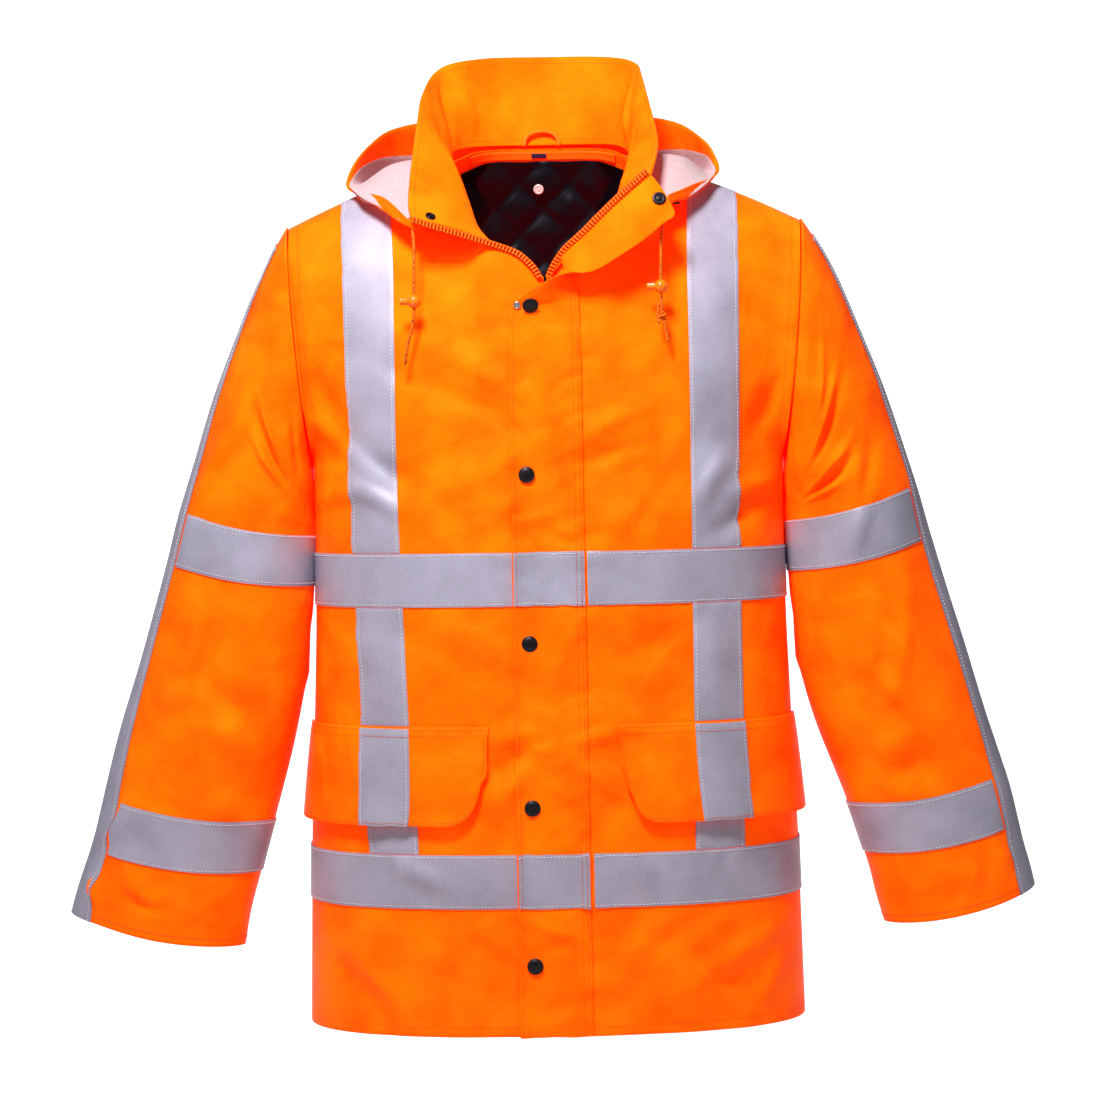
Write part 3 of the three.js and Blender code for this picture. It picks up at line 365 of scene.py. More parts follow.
BACK_CREASES = [
    (-205, -225, -24, 80, 12, -3.6),
    (-190, -262, -40, 60, 10, 3.0),
    (200, -220, 26, 80, 12, -3.4),
    (186, -258, 42, 60, 10, 3.0),
    (-110, -500, -14, 120, 18, -2.8),
    (-80, -520, -10, 110, 15, 2.2),
    (95, -540, 15, 130, 18, -2.8),
    (66, -560, 10, 110, 16, 2.2),
    (10, -430, 4, 120, 22, 2.2),
    (-40, -720, 12, 90, 16, 2.6),
    (160, -720, -20, 80, 14, 2.6),
    (-170, -725, 20, 80, 14, -2.8),
    (60, -735, -30, 70, 12, -2.4),
    (40, -180, 60, 80, 12, 2.0),
    (-60, -200, -58, 80, 12, 2.0),
    (0, -250, 85, 90, 12, -1.6),
]
FLAP_CREASES = [
    (-14, -306, 70, 26, 6, 1.5),
    (8, -325, -70, 24, 6, -1.3),
    (-10, -520, 75, 24, 6, 1.3),
    (6, -560, -60, 26, 6, 1.2),
    (2, -690, -70, 30, 6, 1.7),
    (-6, -705, 66, 26, 6, -1.4),
    (5, -770, 60, 26, 6, 1.4),
    (12, -430, 24, 40, 7, 1.1),
    (-20, -210, -30, 50, 8, 1.2),
]
# Sleeve creases: place round (0.5 inside, 0.75 front, 1 outside), place along, angle in degrees
# from the sleeve's length towards its outside, length, width, depth
SLEEVE_CREASES = {
    "right": [
        (0.74, 4.1, 61, 32, 7, 3.0),
        (0.738, 4.5, 64, 34, 7, -2.8),
        (0.735, 4.9, 72, 34, 7, 2.8),
        (0.833, 6.1, -18, 58, 9, -3.4),
        (0.862, 5.8, -20, 52, 9, 3.0),
        (0.66, 3.0, 16, 70, 11, -2.8),
        (0.779, 8.9, -5, 46, 9, -3.6),
        (0.805, 8.9, -8, 44, 9, 2.6),
        (0.815, 9.5, 100, 32, 8, 2.4),
        (0.71, 9.2, 65, 38, 8, 3.0),
        (0.705, 9.6, 66, 38, 8, -2.8),
        (0.70, 10.0, 70, 40, 8, 2.8),
        (0.66, 10.6, 60, 36, 8, -2.8),
        (0.70, 10.8, 74, 34, 8, 2.4),
        (0.88, 11.4, -30, 32, 7, 2.4),
        (0.80, 12.6, 40, 34, 8, 2.0),
        (0.90, 12.9, 22, 26, 7, 2.0),
        (0.77, 13.0, 78, 30, 8, -1.8),
        (0.84, 2.4, -14, 60, 11, 2.2),
    ],
    "left": [
        (0.745, 3.9, 60, 38, 8, 3.0),
        (0.74, 4.3, 64, 36, 8, -2.6),
        (0.72, 5.3, 80, 38, 8, 3.2),
        (0.715, 5.65, 84, 36, 8, -3.0),
        (0.69, 5.95, 100, 28, 7, 2.4),
        (0.76, 3.1, 30, 44, 8, 2.6),
        (0.80, 6.3, 24, 46, 9, -2.4),
        (0.75, 7.4, 30, 40, 9, 2.4),
        (0.77, 9.2, 35, 48, 9, 4.0),
        (0.745, 9.3, 36, 46, 9, -3.4),
        (0.76, 9.9, -45, 60, 10, 2.8),
        (0.73, 9.8, -42, 50, 9, -2.4),
        (0.72, 10.35, 82, 32, 7, 3.0),
        (0.715, 10.6, 86, 32, 7, -2.8),
        (0.70, 10.85, 95, 32, 7, 2.8),
        (0.66, 10.4, 60, 36, 8, -2.6),
        (0.78, 12.8, 20, 38, 9, 2.8),
        (0.75, 13.2, 24, 34, 9, -2.4),
        (0.86, 12.5, -20, 36, 8, 2.0),
    ],
    "behind": [
        (0.30, 3.2, 40, 60, 11, -3.4),
        (0.27, 3.8, 48, 54, 10, 2.8),
        (0.22, 5.4, -30, 56, 10, 2.8),
        (0.35, 8.8, 62, 44, 9, -3.4),
        (0.33, 9.3, 66, 44, 9, 3.0),
        (0.26, 9.9, 76, 40, 9, -2.6),
        (0.30, 10.4, 84, 38, 9, 2.6),
        (0.45, 2.4, 10, 60, 11, -2.6),
        (0.44, 8.6, 88, 40, 8, -1.6),
        (0.43, 9.1, 92, 40, 8, 1.6),
        (0.24, 12.8, 24, 40, 9, 2.4),
    ],
}
SLEEVE_ROUND, SLEEVE_ROW = 470, 49  # round the sleeve, and between two of its sections

CREASE_SCALE = 2.1  # what the tables' depths are multiplied by


def crease_height(creases, x, z):
    height = 0
    for cx, cz, angle, length, width, depth in creases:
        dx, dz = x - cx, z - cz
        if abs(dx) + abs(dz) > 3.2 * length:
            continue
        a = math.radians(angle)
        up = (dz * math.cos(a) + dx * math.sin(a)) / length
        across = (dx * math.cos(a) - dz * math.sin(a)) / width
        if abs(up) < 2.2 and abs(across) < 2.6:
            height += depth * math.exp(-2 * up * up - across * across)
    return CREASE_SCALE * height


def pucker(x, z, seam_x, reach, depth):
    """Small uneven wrinkles that run out from a sewn line."""
    away = abs(x - seam_x)
    if away > 3 * reach:
        return 0
    slant = z + 0.5 * away
    return depth * math.exp(-away / reach) * noise.noise(Vector((away / 40, slant / 11, seam_x)))


def body_point(side, is_back, u, v):
    """The body's outside at u (0 at the centre, 1 at the side) and height v, as the part shapes it."""
    sign = 1 if is_back else -1
    size = abs(u)
    roundness = max(0, 1 - size**SIDE_POWER) ** (1 / SIDE_POWER)
    column = 3 if is_back else 2
    if v <= UNDERARM_Z:
        x = u * look_up(BODY_ROWS, v, 1)
        y = sign * look_up(BODY_ROWS, v, column) * roundness
        z = v - BAND_SAG * roundness
    else:
        down = v / UNDERARM_Z
        top = BACK_TOP if is_back else FRONT_TOP
        top_y, top_z = look_up(top, size, 1), look_up(top, size, 2)
        bottom_z = UNDERARM_Z - BAND_SAG * roundness
        height = 1 - 2 * down
        armhole = sign * ARMHOLE["depth"] * math.sqrt(max(0, 1 - height * height))
        bottom_y = sign * look_up(BODY_ROWS, UNDERARM_Z, column)
        rise = math.sin(math.pi * down / 2) ** 0.6
        middle_y = lerp(top_y, bottom_y, rise)
        x = u * lerp(ARMHOLE["top_x"], ARMHOLE["bottom_x"], down)
        edge = size**10 * min(1, (1 - down) * 10)
        section = lerp(1, roundness, math.sqrt(math.sin(math.pi * down / 2)))
        y = lerp(middle_y * section, armhole, edge)
        z = lerp(top_z, bottom_z, down)
    fade = min(1, roundness * 3)
    creases = BACK_CREASES if is_back else FRONT_CREASES["left" if side > 0 else "right"]
    lift = crease_height(creases, side * x, z) * fade
    drift = Vector((side * x + 0.35 * z, 0.28 * z - 0.5 * side * x, 60 if is_back else 0))
    lift += 2.6 * fade * noise.noise(drift / 52)
    if not is_back:
        lift += pucker(side * x, z, 38, 26, 2.4) + pucker(side * x, z, -38, 20, 1.6)
    lift += fade * pucker(z, x, HEM_BAND[1] + 3, 22, 1.6) + fade * pucker(z, x, CHEST_BAND[0] - 3, 22, 1.6)
    return Vector((side * x, y + sign * (lift + 0.15), z))


def angle_of(around):
    return 2 * math.pi * around


def sleeve_point(rows, side, u, v):
    outer_x, outer_z, inner_x, inner_z, depth, middle_y = along(rows, v)
    c, s = math.cos(angle_of(u)), math.sin(angle_of(u))
    around = u % 1
    fold = 0
    for name in ("left" if side > 0 else "right", "behind"):
        for place, row, angle, length, width, height in SLEEVE_CREASES[name]:
            dx = (around - place) * SLEEVE_ROUND
            dz = (row - v) * SLEEVE_ROW
            fold += crease_height(((0, 0, angle, length, width, height),), dx, dz)
    way = Vector((math.cos(angle_of(around)), math.sin(angle_of(around)), v * 0.42 + 9 * side))
    fold += 2.8 * noise.noise(way * 1.25)
    grow = 1 + fold * min(1, v / 1.5) / depth
    dip = -7 * s * s * min(1, v / 4)
    return Vector(
        (
            side * (lerp(outer_x, inner_x, 0.5) + (outer_x - inner_x) / 2 * c * grow),
            middle_y + depth * s * grow,
            lerp(outer_z, inner_z, 0.5) + (outer_z - inner_z) / 2 * c + dip,
        )
    )


# Collar creases: place round (7 at the middle of the back), place up, angle, length, width, depth
COLLAR_CREASES = [
    (4.7, 0.55, 14, 34, 8, 2.4),
    (5.4, 0.45, -12, 36, 10, -2.2),
    (6.3, 0.5, 8, 30, 12, 1.8),
    (7.9, 0.55, -10, 34, 12, -2.0),
    (8.8, 0.5, 16, 36, 9, 2.4),
    (9.5, 0.42, -14, 34, 8, -2.4),
    (3.4, 0.3, 30, 26, 6, 2.0),
    (2.7, 0.22, 50, 22, 5, -1.8),
    (1.6, 0.3, -40, 20, 6, 1.6),
    (10.9, 0.35, -26, 30, 7, 2.2),
    (11.8, 0.25, 40, 24, 6, -1.8),
    (12.7, 0.45, -20, 24, 6, 1.6),
]
COLLAR_ROUND, COLLAR_TALL = 42, 75  # between two sections, and up the collar


def collar_point(u, v):
    sx, sy, sz, tx, ty, tz = along(COLLAR_ROWS, u)
    fold = 0
    for place, up, angle, length, width, depth in COLLAR_CREASES:
        crease = (0, 0, angle, length, width, depth)
        fold += crease_height((crease,), (u - place) * COLLAR_ROUND, (v - up) * COLLAR_TALL)
    fold *= min(1, 4 * v, 5 * (1 - v)) if 0 < v < 1 else 0
    round_out = Vector((sx, sy - 20, 0)).normalized() * fold
    belly = math.sin(math.pi * v) * 4
    out = Vector((tx, 0, tz - 60)).normalized()
    wave = 1.6 * math.sin(2.1 * u + 0.6) * math.sin(math.pi * v) * math.exp(-(((u - 7) / 5) ** 2))
    return Vector(
        (
            lerp(sx, tx, v) - out.x * belly + round_out.x,
            lerp(sy, ty, v) + wave + round_out.y,
            lerp(sz, tz, v) - out.z * belly * 0.4,
        )
    )


def centripetal(points, t):
    """A Catmull-Rom curve with centripetal spacing through the points, t from 0 to 1."""
    count = len(points) - 1
    place = min(t, 0.999999) * count
    i = int(place)
    w = place - i
    p1, p2 = points[i], points[i + 1]
    p0 = points[i - 1] if i > 0 else p1 * 2 - p2
    p3 = points[i + 2] if i + 2 <= count else p2 * 2 - p1
    d0, d1, d2 = (max(1e-6, (b - a).length) ** 0.5 for a, b in ((p0, p1), (p1, p2), (p2, p3)))
    t1 = ((p1 - p0) / d0 - (p2 - p0) / (d0 + d1) + (p2 - p1) / d1) * d1
    t2 = ((p2 - p1) / d1 - (p3 - p1) / (d1 + d2) + (p3 - p2) / d2) * d1
    return (
        p1
        + t1 * w
        + (-3 * p1 + 3 * p2 - 2 * t1 - t2) * w * w
        + (2 * p1 - 2 * p2 + t1 + t2) * w**3
    )


def hood_point(u, v):
    values = along(HOOD_ROWS, u)
    stations = [Vector(values[3 * k : 3 * k + 3]) for k in range(4)]
    p = centripetal(stations, v)
    ripple = 1.4 * math.sin(5.2 * u + 3 * v) * math.sin(math.pi * v) ** 2
    return p + Vector((0, ripple, 0.6 * ripple))


def open_flap_point(u, j):
    """The turned-open top of the storm flap: u from the sewn edge to the free edge, j in table rows."""
    values = along(FLAP_TOP_ROWS, j)
    sewn, mid, free = (Vector(values[3 * k : 3 * k + 3]) for k in range(3))
    control = mid * 2 - (sewn + free) * 0.5
    return sewn * (1 - u) ** 2 + control * 2 * u * (1 - u) + free * u * u


def normal_at(point_at, u, v, du, dv, turn):
    across = point_at(u + du, v) - point_at(u - du, v)
    up = point_at(u, v + dv) - point_at(u, v - dv)
    n = across.cross(up)
    n = n.normalized() if n.length > 1e-9 else Vector((0, 0, 1))
    return n * turn


class Surface:
    """A surface point_at(u, v) with its outward normal; places lie on it or are lifted from it."""

    def __init__(self, point_at, u_range, v_range, turn=1, closed=False):
        self.point_at = point_at
        self.u_range, self.v_range = u_range, v_range
        self.turn, self.closed = turn, closed
        self.du = (u_range[1] - u_range[0]) * 0.002
        self.dv = (v_range[1] - v_range[0]) * 0.002

    def clamp(self, value, limits, step):
        return min(max(value, limits[0] + step), limits[1] - step)

    def normal(self, u, v):
        if not self.closed:
            u = self.clamp(u, self.u_range, self.du)
        v = self.clamp(v, self.v_range, self.dv)
        return normal_at(self.point_at, u, v, self.du, self.dv, self.turn)

    def at(self, u, v, lift=0):
        p = self.point_at(u, v)
        return p + self.normal(u, v) * lift if lift else p

    def step(self, u, v, distance):
        """The u that lies a distance along the surface from another, at one v."""
        way = 1 if distance > 0 else -1
        pace = abs(self.u_range[1] - self.u_range[0]) * 0.004
        walked, here, p = 0, u, self.point_at(u, v)
        while walked < abs(distance):
            here += way * pace
            q = self.point_at(here, v)
            walked += (q - p).length
            p = q
        return here

    def u_at_x(self, x, v):
        low, high = max(self.u_range[0], 0), self.u_range[1]
        for _ in range(24):
            middle = (low + high) / 2
            if abs(self.point_at(middle, v).x) < x:
                low = middle
            else:
                high = middle
        return low


CLOTH = 1.6
TAPE_RISE = 1.3
HEM_Z = -786
SLEEVE_END = len(SLEEVE_RIGHT) - 1
FRONT_EDGE = 0.006
# How near the side seam a panel, a band and what lies on a front come, of 1
PANEL_END, BAND_END, INSIDE_SEAM = 0.9999995, 0.99998, 0.9985
FLAP_LEFT_X, FLAP_RIGHT_X, FLAP_RISE = -35, 32, 2.2
POCKET = {"top_z": -498, "height": 92, "inner_x": 60, "corner": 30, "stand_off": 6.5, "slant": 0.045}
BRACE_INNER = {
    "right": [(-790, 126), (-617, 127), (-500, 134), (-390, 138), (-258, 142), (-100, 143), (0, 148)],
    "left": [(-790, 130.5), (-617, 130.5), (-500, 131.5), (-258, 133), (-100, 134), (0, 138)],
}
FLAP_HEIGHTS = [-786, -728, -667, -617, -560, -498, -442, -387, -337, -298, -258, -201, -150, -126]

FRONTS = {
    "right": Surface(lambda u, v: body_point(-1, False, u, v), (FRONT_EDGE, 1), (HEM_Z, 0), -1),
    "left": Surface(lambda u, v: body_point(1, False, u, v), (FRONT_EDGE, 1), (HEM_Z, 0), 1),
}
BACK = Surface(
    lambda u, v: body_point(-1 if u < 0 else 1, True, abs(u), v), (-1, 1), (HEM_Z, 0), -1
)
SLEEVES = {
    "right": Surface(lambda u, v: sleeve_point(SLEEVE_RIGHT, -1, u, v), (0, 1), (0, SLEEVE_END), 1, True),
    "left": Surface(lambda u, v: sleeve_point(SLEEVE_LEFT, 1, u, v), (0, 1), (0, SLEEVE_END), -1, True),
}
COLLAR = Surface(collar_point, (0, 14), (0, 1), 1)
HOOD = Surface(hood_point, (0, 14), (0, 1), -1)


def flap_point(u, j):
    """The storm flap: u from the sewn edge to the free edge, j in rows from the hem to the tip."""
    last = len(FLAP_HEIGHTS) - 1
    if j >= last + 1:
        return open_flap_point(u, min(j - last - 1, len(FLAP_TOP_ROWS) - 1))
    if j > last:
        return flap_point(u, last).lerp(open_flap_point(u, 0), j - last)
    i = min(int(j), last - 1)
    v = lerp(FLAP_HEIGHTS[i], FLAP_HEIGHTS[i + 1], j - i)
    x = lerp(FLAP_RIGHT_X, FLAP_LEFT_X, u)
    surface = FRONTS["right" if x < 0 else "left"]
    place = max(abs(x) / abs(surface.at(1, v).x), FRONT_EDGE)
    lift = lerp(FLAP_RISE, 0.6, max(0, (x - 10) / 22) ** 2) + 3.2 * max(0, (-22 - x) / 13) ** 2
    buckle = crease_height(FLAP_CREASES, x, v) + pucker(x, v, 30, 16, 1.6)
    p = surface.at(place, v, lift + CLOTH + buckle)
    return Vector((x, p.y, p.z))


FLAP = Surface(flap_point, (0, 1), (0, len(FLAP_HEIGHTS) + len(FLAP_TOP_ROWS) - 1), -1)


def flap_row(v):
    """The flap's row number at a height of the body."""
    i = 1
    while i < len(FLAP_HEIGHTS) - 1 and FLAP_HEIGHTS[i] < v:
        i += 1
    a, b = FLAP_HEIGHTS[i - 1], FLAP_HEIGHTS[i]
    return i - 1 + (v - a) / (b - a)


def pocket_surface(side):
    """A pocket flap, u as on the front and t from its top seam down to its free edge."""
    panel = FRONTS[side]
    top = POCKET["top_z"]
    start = panel.u_at_x(POCKET["inner_x"], top)
    inner = panel.at(start, top)

    def point_at(u, t):
        reach = (panel.at(u, top) - inner).length
        short = max(0, POCKET["corner"] - reach)
        cut = POCKET["corner"] - math.sqrt(max(0, POCKET["corner"] ** 2 - short**2))
        v = top - t * (POCKET["height"] - cut)
        wave = 0.7 * math.sin(u * 19) * t
        lift = 0.6 + POCKET["stand_off"] * max(t, 0) ** 0.7 + wave
        slant = POCKET["slant"] * t * t * (INSIDE_SEAM - u) / (INSIDE_SEAM - start)
        return panel.at(u + slant, v, lift + CLOTH)

    return Surface(point_at, (start, INSIDE_SEAM), (0, 1), -panel.turn)


POCKETS = {side: pocket_surface(side) for side in ("right", "left")}


# Meshes from grids of points


def grid_mesh(name, rows, closed=False):
    """A sheet of quads over rows of points, with a map laid out in metres; rows run upward."""
    mesh = bpy.data.meshes.new(name)
    count = len(rows[0])
    verts = [p * MM for row in rows for p in row]
    faces, corners = [], []
    spans = count if closed else count - 1
    widths = [0.0]
    middle = rows[len(rows) // 2]
    for i in range(spans):
        widths.append(widths[-1] + (middle[(i + 1) % count] - middle[i]).length * MM)
    heights = [0.0]
    for j in range(len(rows) - 1):
        step = (rows[j + 1][count // 2] - rows[j][count // 2]).length
        heights.append(heights[-1] + step * MM)
    for j in range(len(rows) - 1):
        for i in range(spans):
            k = (i + 1) % count
            faces.append((j * count + i, j * count + k, (j + 1) * count + k, (j + 1) * count + i))
            corners += [
                (widths[i], heights[j]),
                (widths[i + 1], heights[j]),
                (widths[i + 1], heights[j + 1]),
                (widths[i], heights[j + 1]),
            ]
    mesh.from_pydata(verts, [], faces)
    layer = mesh.uv_layers.new(name="cloth_map")
    for loop, corner in zip(layer.data, corners):
        loop.uv = corner
    for polygon in mesh.polygons:
        polygon.use_smooth = True
    return mesh


def face_front(mesh, index):
    """Turns the mesh over when the face of that number looks to the back."""
    if mesh.polygons[index].normal.y > 0:
        mesh.flip_normals()


def put(name, mesh, material, nodes=()):
    """Adds a piece to the scene on the part's one body, with its finish."""
    obj = bpy.data.objects.new(name, mesh)
    bpy.context.scene.collection.objects.link(obj)
    obj.data.materials.clear()
    obj.data.materials.append(material)
    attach(obj, "root")
    if nodes:
        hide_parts(*nodes)
    return obj


def thicken(obj, thickness, offset=-1):
    """Gives a sheet its thickness, inward unless the offset says otherwise, with crisp edges."""
    solid = obj.modifiers.new("thickness", "SOLIDIFY")
    solid.thickness = thickness * MM
    solid.offset = offset
    solid.use_even_offset = False
    crisp = obj.modifiers.new("crisp edge", "WEIGHTED_NORMAL")
    crisp.mode = "FACE_AREA"
    crisp.weight = 80
    return obj


def cloth(name, surface, u_lines, v_lines, thickness, material, nodes, lift=0, closed=False):
    """A cloth piece over a surface, thickened inward."""
    rows = [[surface.at(u, v, lift) for u in u_lines] for v in v_lines]
    mesh = grid_mesh(name, rows, closed)
    i, j = len(u_lines) // 2, len(v_lines) // 2
    middle = mesh.polygons[min(j, len(v_lines) - 2) * (len(u_lines) - (0 if closed else 1)) + i - 1]
    if middle.normal.dot(surface.normal(u_lines[i], v_lines[j])) < 0:
        mesh.flip_normals()
    return thicken(put(name, mesh, material, nodes), thickness)


def orange_piece(name, surface, u_lines, v_lines, thickness, node, closed=False):
    """A piece of the orange outer cloth in place of one solid."""
    return cloth(
        name,
        surface,
        u_lines,
        v_lines,
        thickness,
        orange_cloth(),
        [node],
        closed=closed,
    )


def rows_between(start, end, step):
    """Places from start to end, about a step apart."""
    count = max(2, round(abs(end - start) / step))
    return spread(start, end, count)


# Materials


def new_material(name, colour, roughness, metallic=0.0, sheen=0.0, emission=None, specular=0.5):
    """A Principled material; returns it with its node tree and its shader."""
    material = bpy.data.materials.new(name)
    material.use_nodes = True
    tree = material.node_tree
    shader = tree.nodes["Principled BSDF"]
    shader.inputs["Base Color"].default_value = (*colour, 1)
    shader.inputs["Roughness"].default_value = roughness
    shader.inputs["Metallic"].default_value = metallic
    shader.inputs["Sheen Weight"].default_value = sheen
    shader.inputs["Sheen Roughness"].default_value = 0.4
    shader.inputs["Specular IOR Level"].default_value = specular
    if emission:
        shader.inputs["Emission Color"].default_value = (*emission[0], 1)
        shader.inputs["Emission Strength"].default_value = emission[1]
    return material, tree, shader


def add_texture(tree, kind, scale, **values):
    """A texture laid out in the object's own space."""
    where = tree.nodes.new("ShaderNodeTexCoord")
    texture = tree.nodes.new(kind)
    texture.inputs["Scale"].default_value = scale
    for name, value in values.items():
        texture.inputs[name].default_value = value
    tree.links.new(where.outputs["Object"], texture.inputs["Vector"])
    return texture


def add_ramp(tree, shader, source, *stops):
    """Colours the cloth by a texture; a stop is its place and colour."""
    ramp = tree.nodes.new("ShaderNodeValToRGB")
    for element, (place, colour) in zip(ramp.color_ramp.elements, stops):
        element.position = place
        element.color = (*colour, 1)
    tree.links.new(source, ramp.inputs["Fac"])
    tree.links.new(ramp.outputs["Color"], shader.inputs["Base Color"])


def add_bump(tree, source, strength, distance, target):
    """Raises the surface by a texture, as seen by the target socket."""
    bump = tree.nodes.new("ShaderNodeBump")
    bump.inputs["Strength"].default_value = strength
    bump.inputs["Distance"].default_value = distance
    tree.links.new(source, bump.inputs["Height"])
    tree.links.new(bump.outputs["Normal"], target)
    return bump


def add_weave(tree, shader, pitch, depth, wrinkle_size, wrinkle_depth):
    """A plain weave from two crossed waves on the cloth map, over fine random wrinkles."""
    nodes, links = tree.nodes, tree.links
    place = nodes.new("ShaderNodeUVMap")
    place.uv_map = "cloth_map"
    heights = []
    for direction in ("X", "Y"):
        wave = nodes.new("ShaderNodeTexWave")
        wave.wave_type = "BANDS"
        wave.bands_direction = direction
        wave.wave_profile = "SIN"
        wave.inputs["Scale"].default_value = math.pi / 10 / pitch
        links.new(place.outputs["UV"], wave.inputs["Vector"])
        heights.append(wave)
    both = nodes.new("ShaderNodeMath")
    both.operation = "MULTIPLY"
    links.new(heights[0].outputs["Fac"], both.inputs[0])
    links.new(heights[1].outputs["Fac"], both.inputs[1])
    uneven = {"Detail": 3, "Roughness": 0.45, "Distortion": 0.25}
    cloud = add_texture(tree, "ShaderNodeTexNoise", 1 / wrinkle_size, **uneven)
    wrinkle = add_bump(tree, cloud.outputs["Fac"], 0.8, wrinkle_depth, shader.inputs["Normal"])
    add_bump(tree, both.outputs[0], 0.35, depth, wrinkle.inputs["Normal"])
    return cloud


def orange_cloth():
    """Fluorescent orange woven polyester. A constant red emission is painted light that keeps it red in
    shade, standing for the fluorescence; its tone is darker in the hollows of its wrinkles, painted shade
    over an uneven tone.
    """
    made = bpy.data.materials.get("orange cloth")
    if made:
        return made
    # The constant red emission is painted light that keeps the cloth bright red in shade; it stands for the
    # fluorescence.
    material, tree, shader = new_material(
        "orange cloth", (0.9, 0.2, 0.002), 0.6, emission=((1, 0.0, 0.0), 0.5), specular=0.3
    )
    shader.inputs["Specular Tint"].default_value = (1, 0.32, 0.0, 1)
    wrinkles_and_painted_shade = add_weave(tree, shader, 0.0011, 0.00018, 0.04, 0.0055)
    # The colour follows the same wrinkle noise as the bump, darker in its hollows: painted shade over the
    # cloth's uneven tone.
    stops = ((0.3, (0.88, 0.135, 0.001)), (0.7, (0.93, 0.225, 0.002)))
    add_ramp(tree, shader, wrinkles_and_painted_shade.outputs["Fac"], *stops)
    return material


def tape_material():
    """Silver-grey reflective tape: fine glass-bead speckle and a faint rub of wear."""
    made = bpy.data.materials.get("reflective tape")
    if made:
        return made
    material, tree, shader = new_material("reflective tape", (0.4, 0.37, 0.45), 0.5, 0.12, specular=0.3)
    bead = add_texture(tree, "ShaderNodeTexVoronoi", 900)
    wear = add_texture(tree, "ShaderNodeTexNoise", 22, Detail=4)
    mix = tree.nodes.new("ShaderNodeMath")
    mix.operation = "MULTIPLY_ADD"
    mix.inputs[1].default_value = 0.45
    tree.links.new(bead.outputs["Distance"], mix.inputs[0])
    tree.links.new(wear.outputs["Fac"], mix.inputs[2])
    stops = ((0.3, (0.3, 0.28, 0.36)), (0.95, (0.47, 0.44, 0.56)))
    add_ramp(tree, shader, mix.outputs[0], *stops)
    add_bump(tree, wear.outputs["Fac"], 0.5, 0.0008, shader.inputs["Normal"])
    return material


def plain_material(name):
    """The smaller finishes, by name."""
    made = bpy.data.materials.get(name)
    if made:
        return made
    colour, roughness, metallic, sheen, specular, painted_glow = FINISHES[name]
    # The last column is painted light: a constant red emission.
    emission = ((1, 0, 0), painted_glow) if painted_glow else None
    return new_material(name, colour, roughness, metallic, sheen, emission, specular)[0]


def cord_material():
    """Braided orange cord, painted dark between its strands as shade, with a faint red emission as painted
    light.
    """
    made = bpy.data.materials.get("braided cord")
    if made:
        return made
    # The red emission is painted light that keeps the cord red in shade.
    material, tree, shader = new_material(
        "braided cord", (0.88, 0.17, 0.002), 0.6, emission=((1, 0, 0), 0.15), specular=0.2
    )
    strand = add_texture(tree, "ShaderNodeTexVoronoi", 850)
    # Painted shade: dark in the grooves between the strands.
    stops = ((0.45, (0.88, 0.19, 0.002)), (0.75, (0.12, 0.012, 0.0)))
    add_ramp(tree, shader, strand.outputs["Distance"], *stops)
    bump = add_bump(tree, strand.outputs["Distance"], 0.8, 0.0006, shader.inputs["Normal"])
    bump.invert = True
    return material


# Colour, roughness, metallic, sheen, specular and a red emission: painted light that keeps the orange parts
# red in shade, standing for their fluorescence, and a faint painted red on the pale thread
FINISHES = {
    "orange inside": ((0.88, 0.17, 0.002), 0.7, 0, 0, 0.15, 0.3),
    # The orange thread is darker than the cloth: painted shade along the sewn lines.
    "orange thread": ((0.7, 0.1, 0.001), 0.6, 0, 0, 0.2, 0.15),
    "pale thread": ((0.85, 0.79, 0.8), 0.6, 0, 0, 0.3, 0.1),
    "dark metal": ((0.03, 0.026, 0.03), 0.4, 0.9, 0, 0.4, 0),
    "bright metal": ((0.5, 0.48, 0.46), 0.25, 1, 0, 0.5, 0),
    "pale metal": ((0.72, 0.68, 0.66), 0.35, 0.15, 0, 0.5, 0),
    "navy label": ((0.018, 0.02, 0.06), 0.55, 0, 0, 0.3, 0),
    "orange plastic": ((0.9, 0.2, 0.003), 0.22, 0, 0, 0.5, 0.25),
    "orange zip": ((0.9, 0.2, 0.002), 0.35, 0, 0, 0.4, 0.3),
    # The zip tape is a dark orange: painted shade in the gaps between the teeth.
    "zip tape": ((0.5, 0.05, 0.001), 0.7, 0, 0, 0.2, 0.12),
}


def lining_material():
    """Black quilted satin with a soft sheen."""
    made = bpy.data.materials.get("dark lining")
    if made:
        return made
    material, tree, shader = new_material("dark lining", (0.002, 0.0015, 0.003), 0.36, specular=0.24)
    shader.inputs["Specular Tint"].default_value = (0.6, 0.62, 0.8, 1)
    add_weave(tree, shader, 0.0007, 0.00005, 0.016, 0.0012)
    return material


def mesh_material():
    """Pale knitted mesh of the hood's lining."""
    made = bpy.data.materials.get("pale mesh")
    if made:
        return made
    material, tree, shader = new_material("pale mesh", (0.7, 0.5, 0.54), 0.8, specular=0.1)
    cell = add_texture(tree, "ShaderNodeTexVoronoi", 420)
    # Darker at the middles of the cells, the pits of the knit: painted shade in its holes.
    stops = ((0.05, (0.3, 0.17, 0.19)), (0.3, (0.56, 0.4, 0.42)))
    add_ramp(tree, shader, cell.outputs["Distance"], *stops)
    add_bump(tree, cell.outputs["Distance"], 0.6, 0.0006, shader.inputs["Normal"])
    return material


# Sizes that a user can change, and the operators that make the pieces


def length_size(name, description, default, low, high):
    """A length in metres, shown in the scene's units."""
    return bpy.props.FloatProperty(
        name=name,
        description=description,
        default=default,
        min=low,
        max=high,
        unit="LENGTH",
        subtype="DISTANCE",
    )


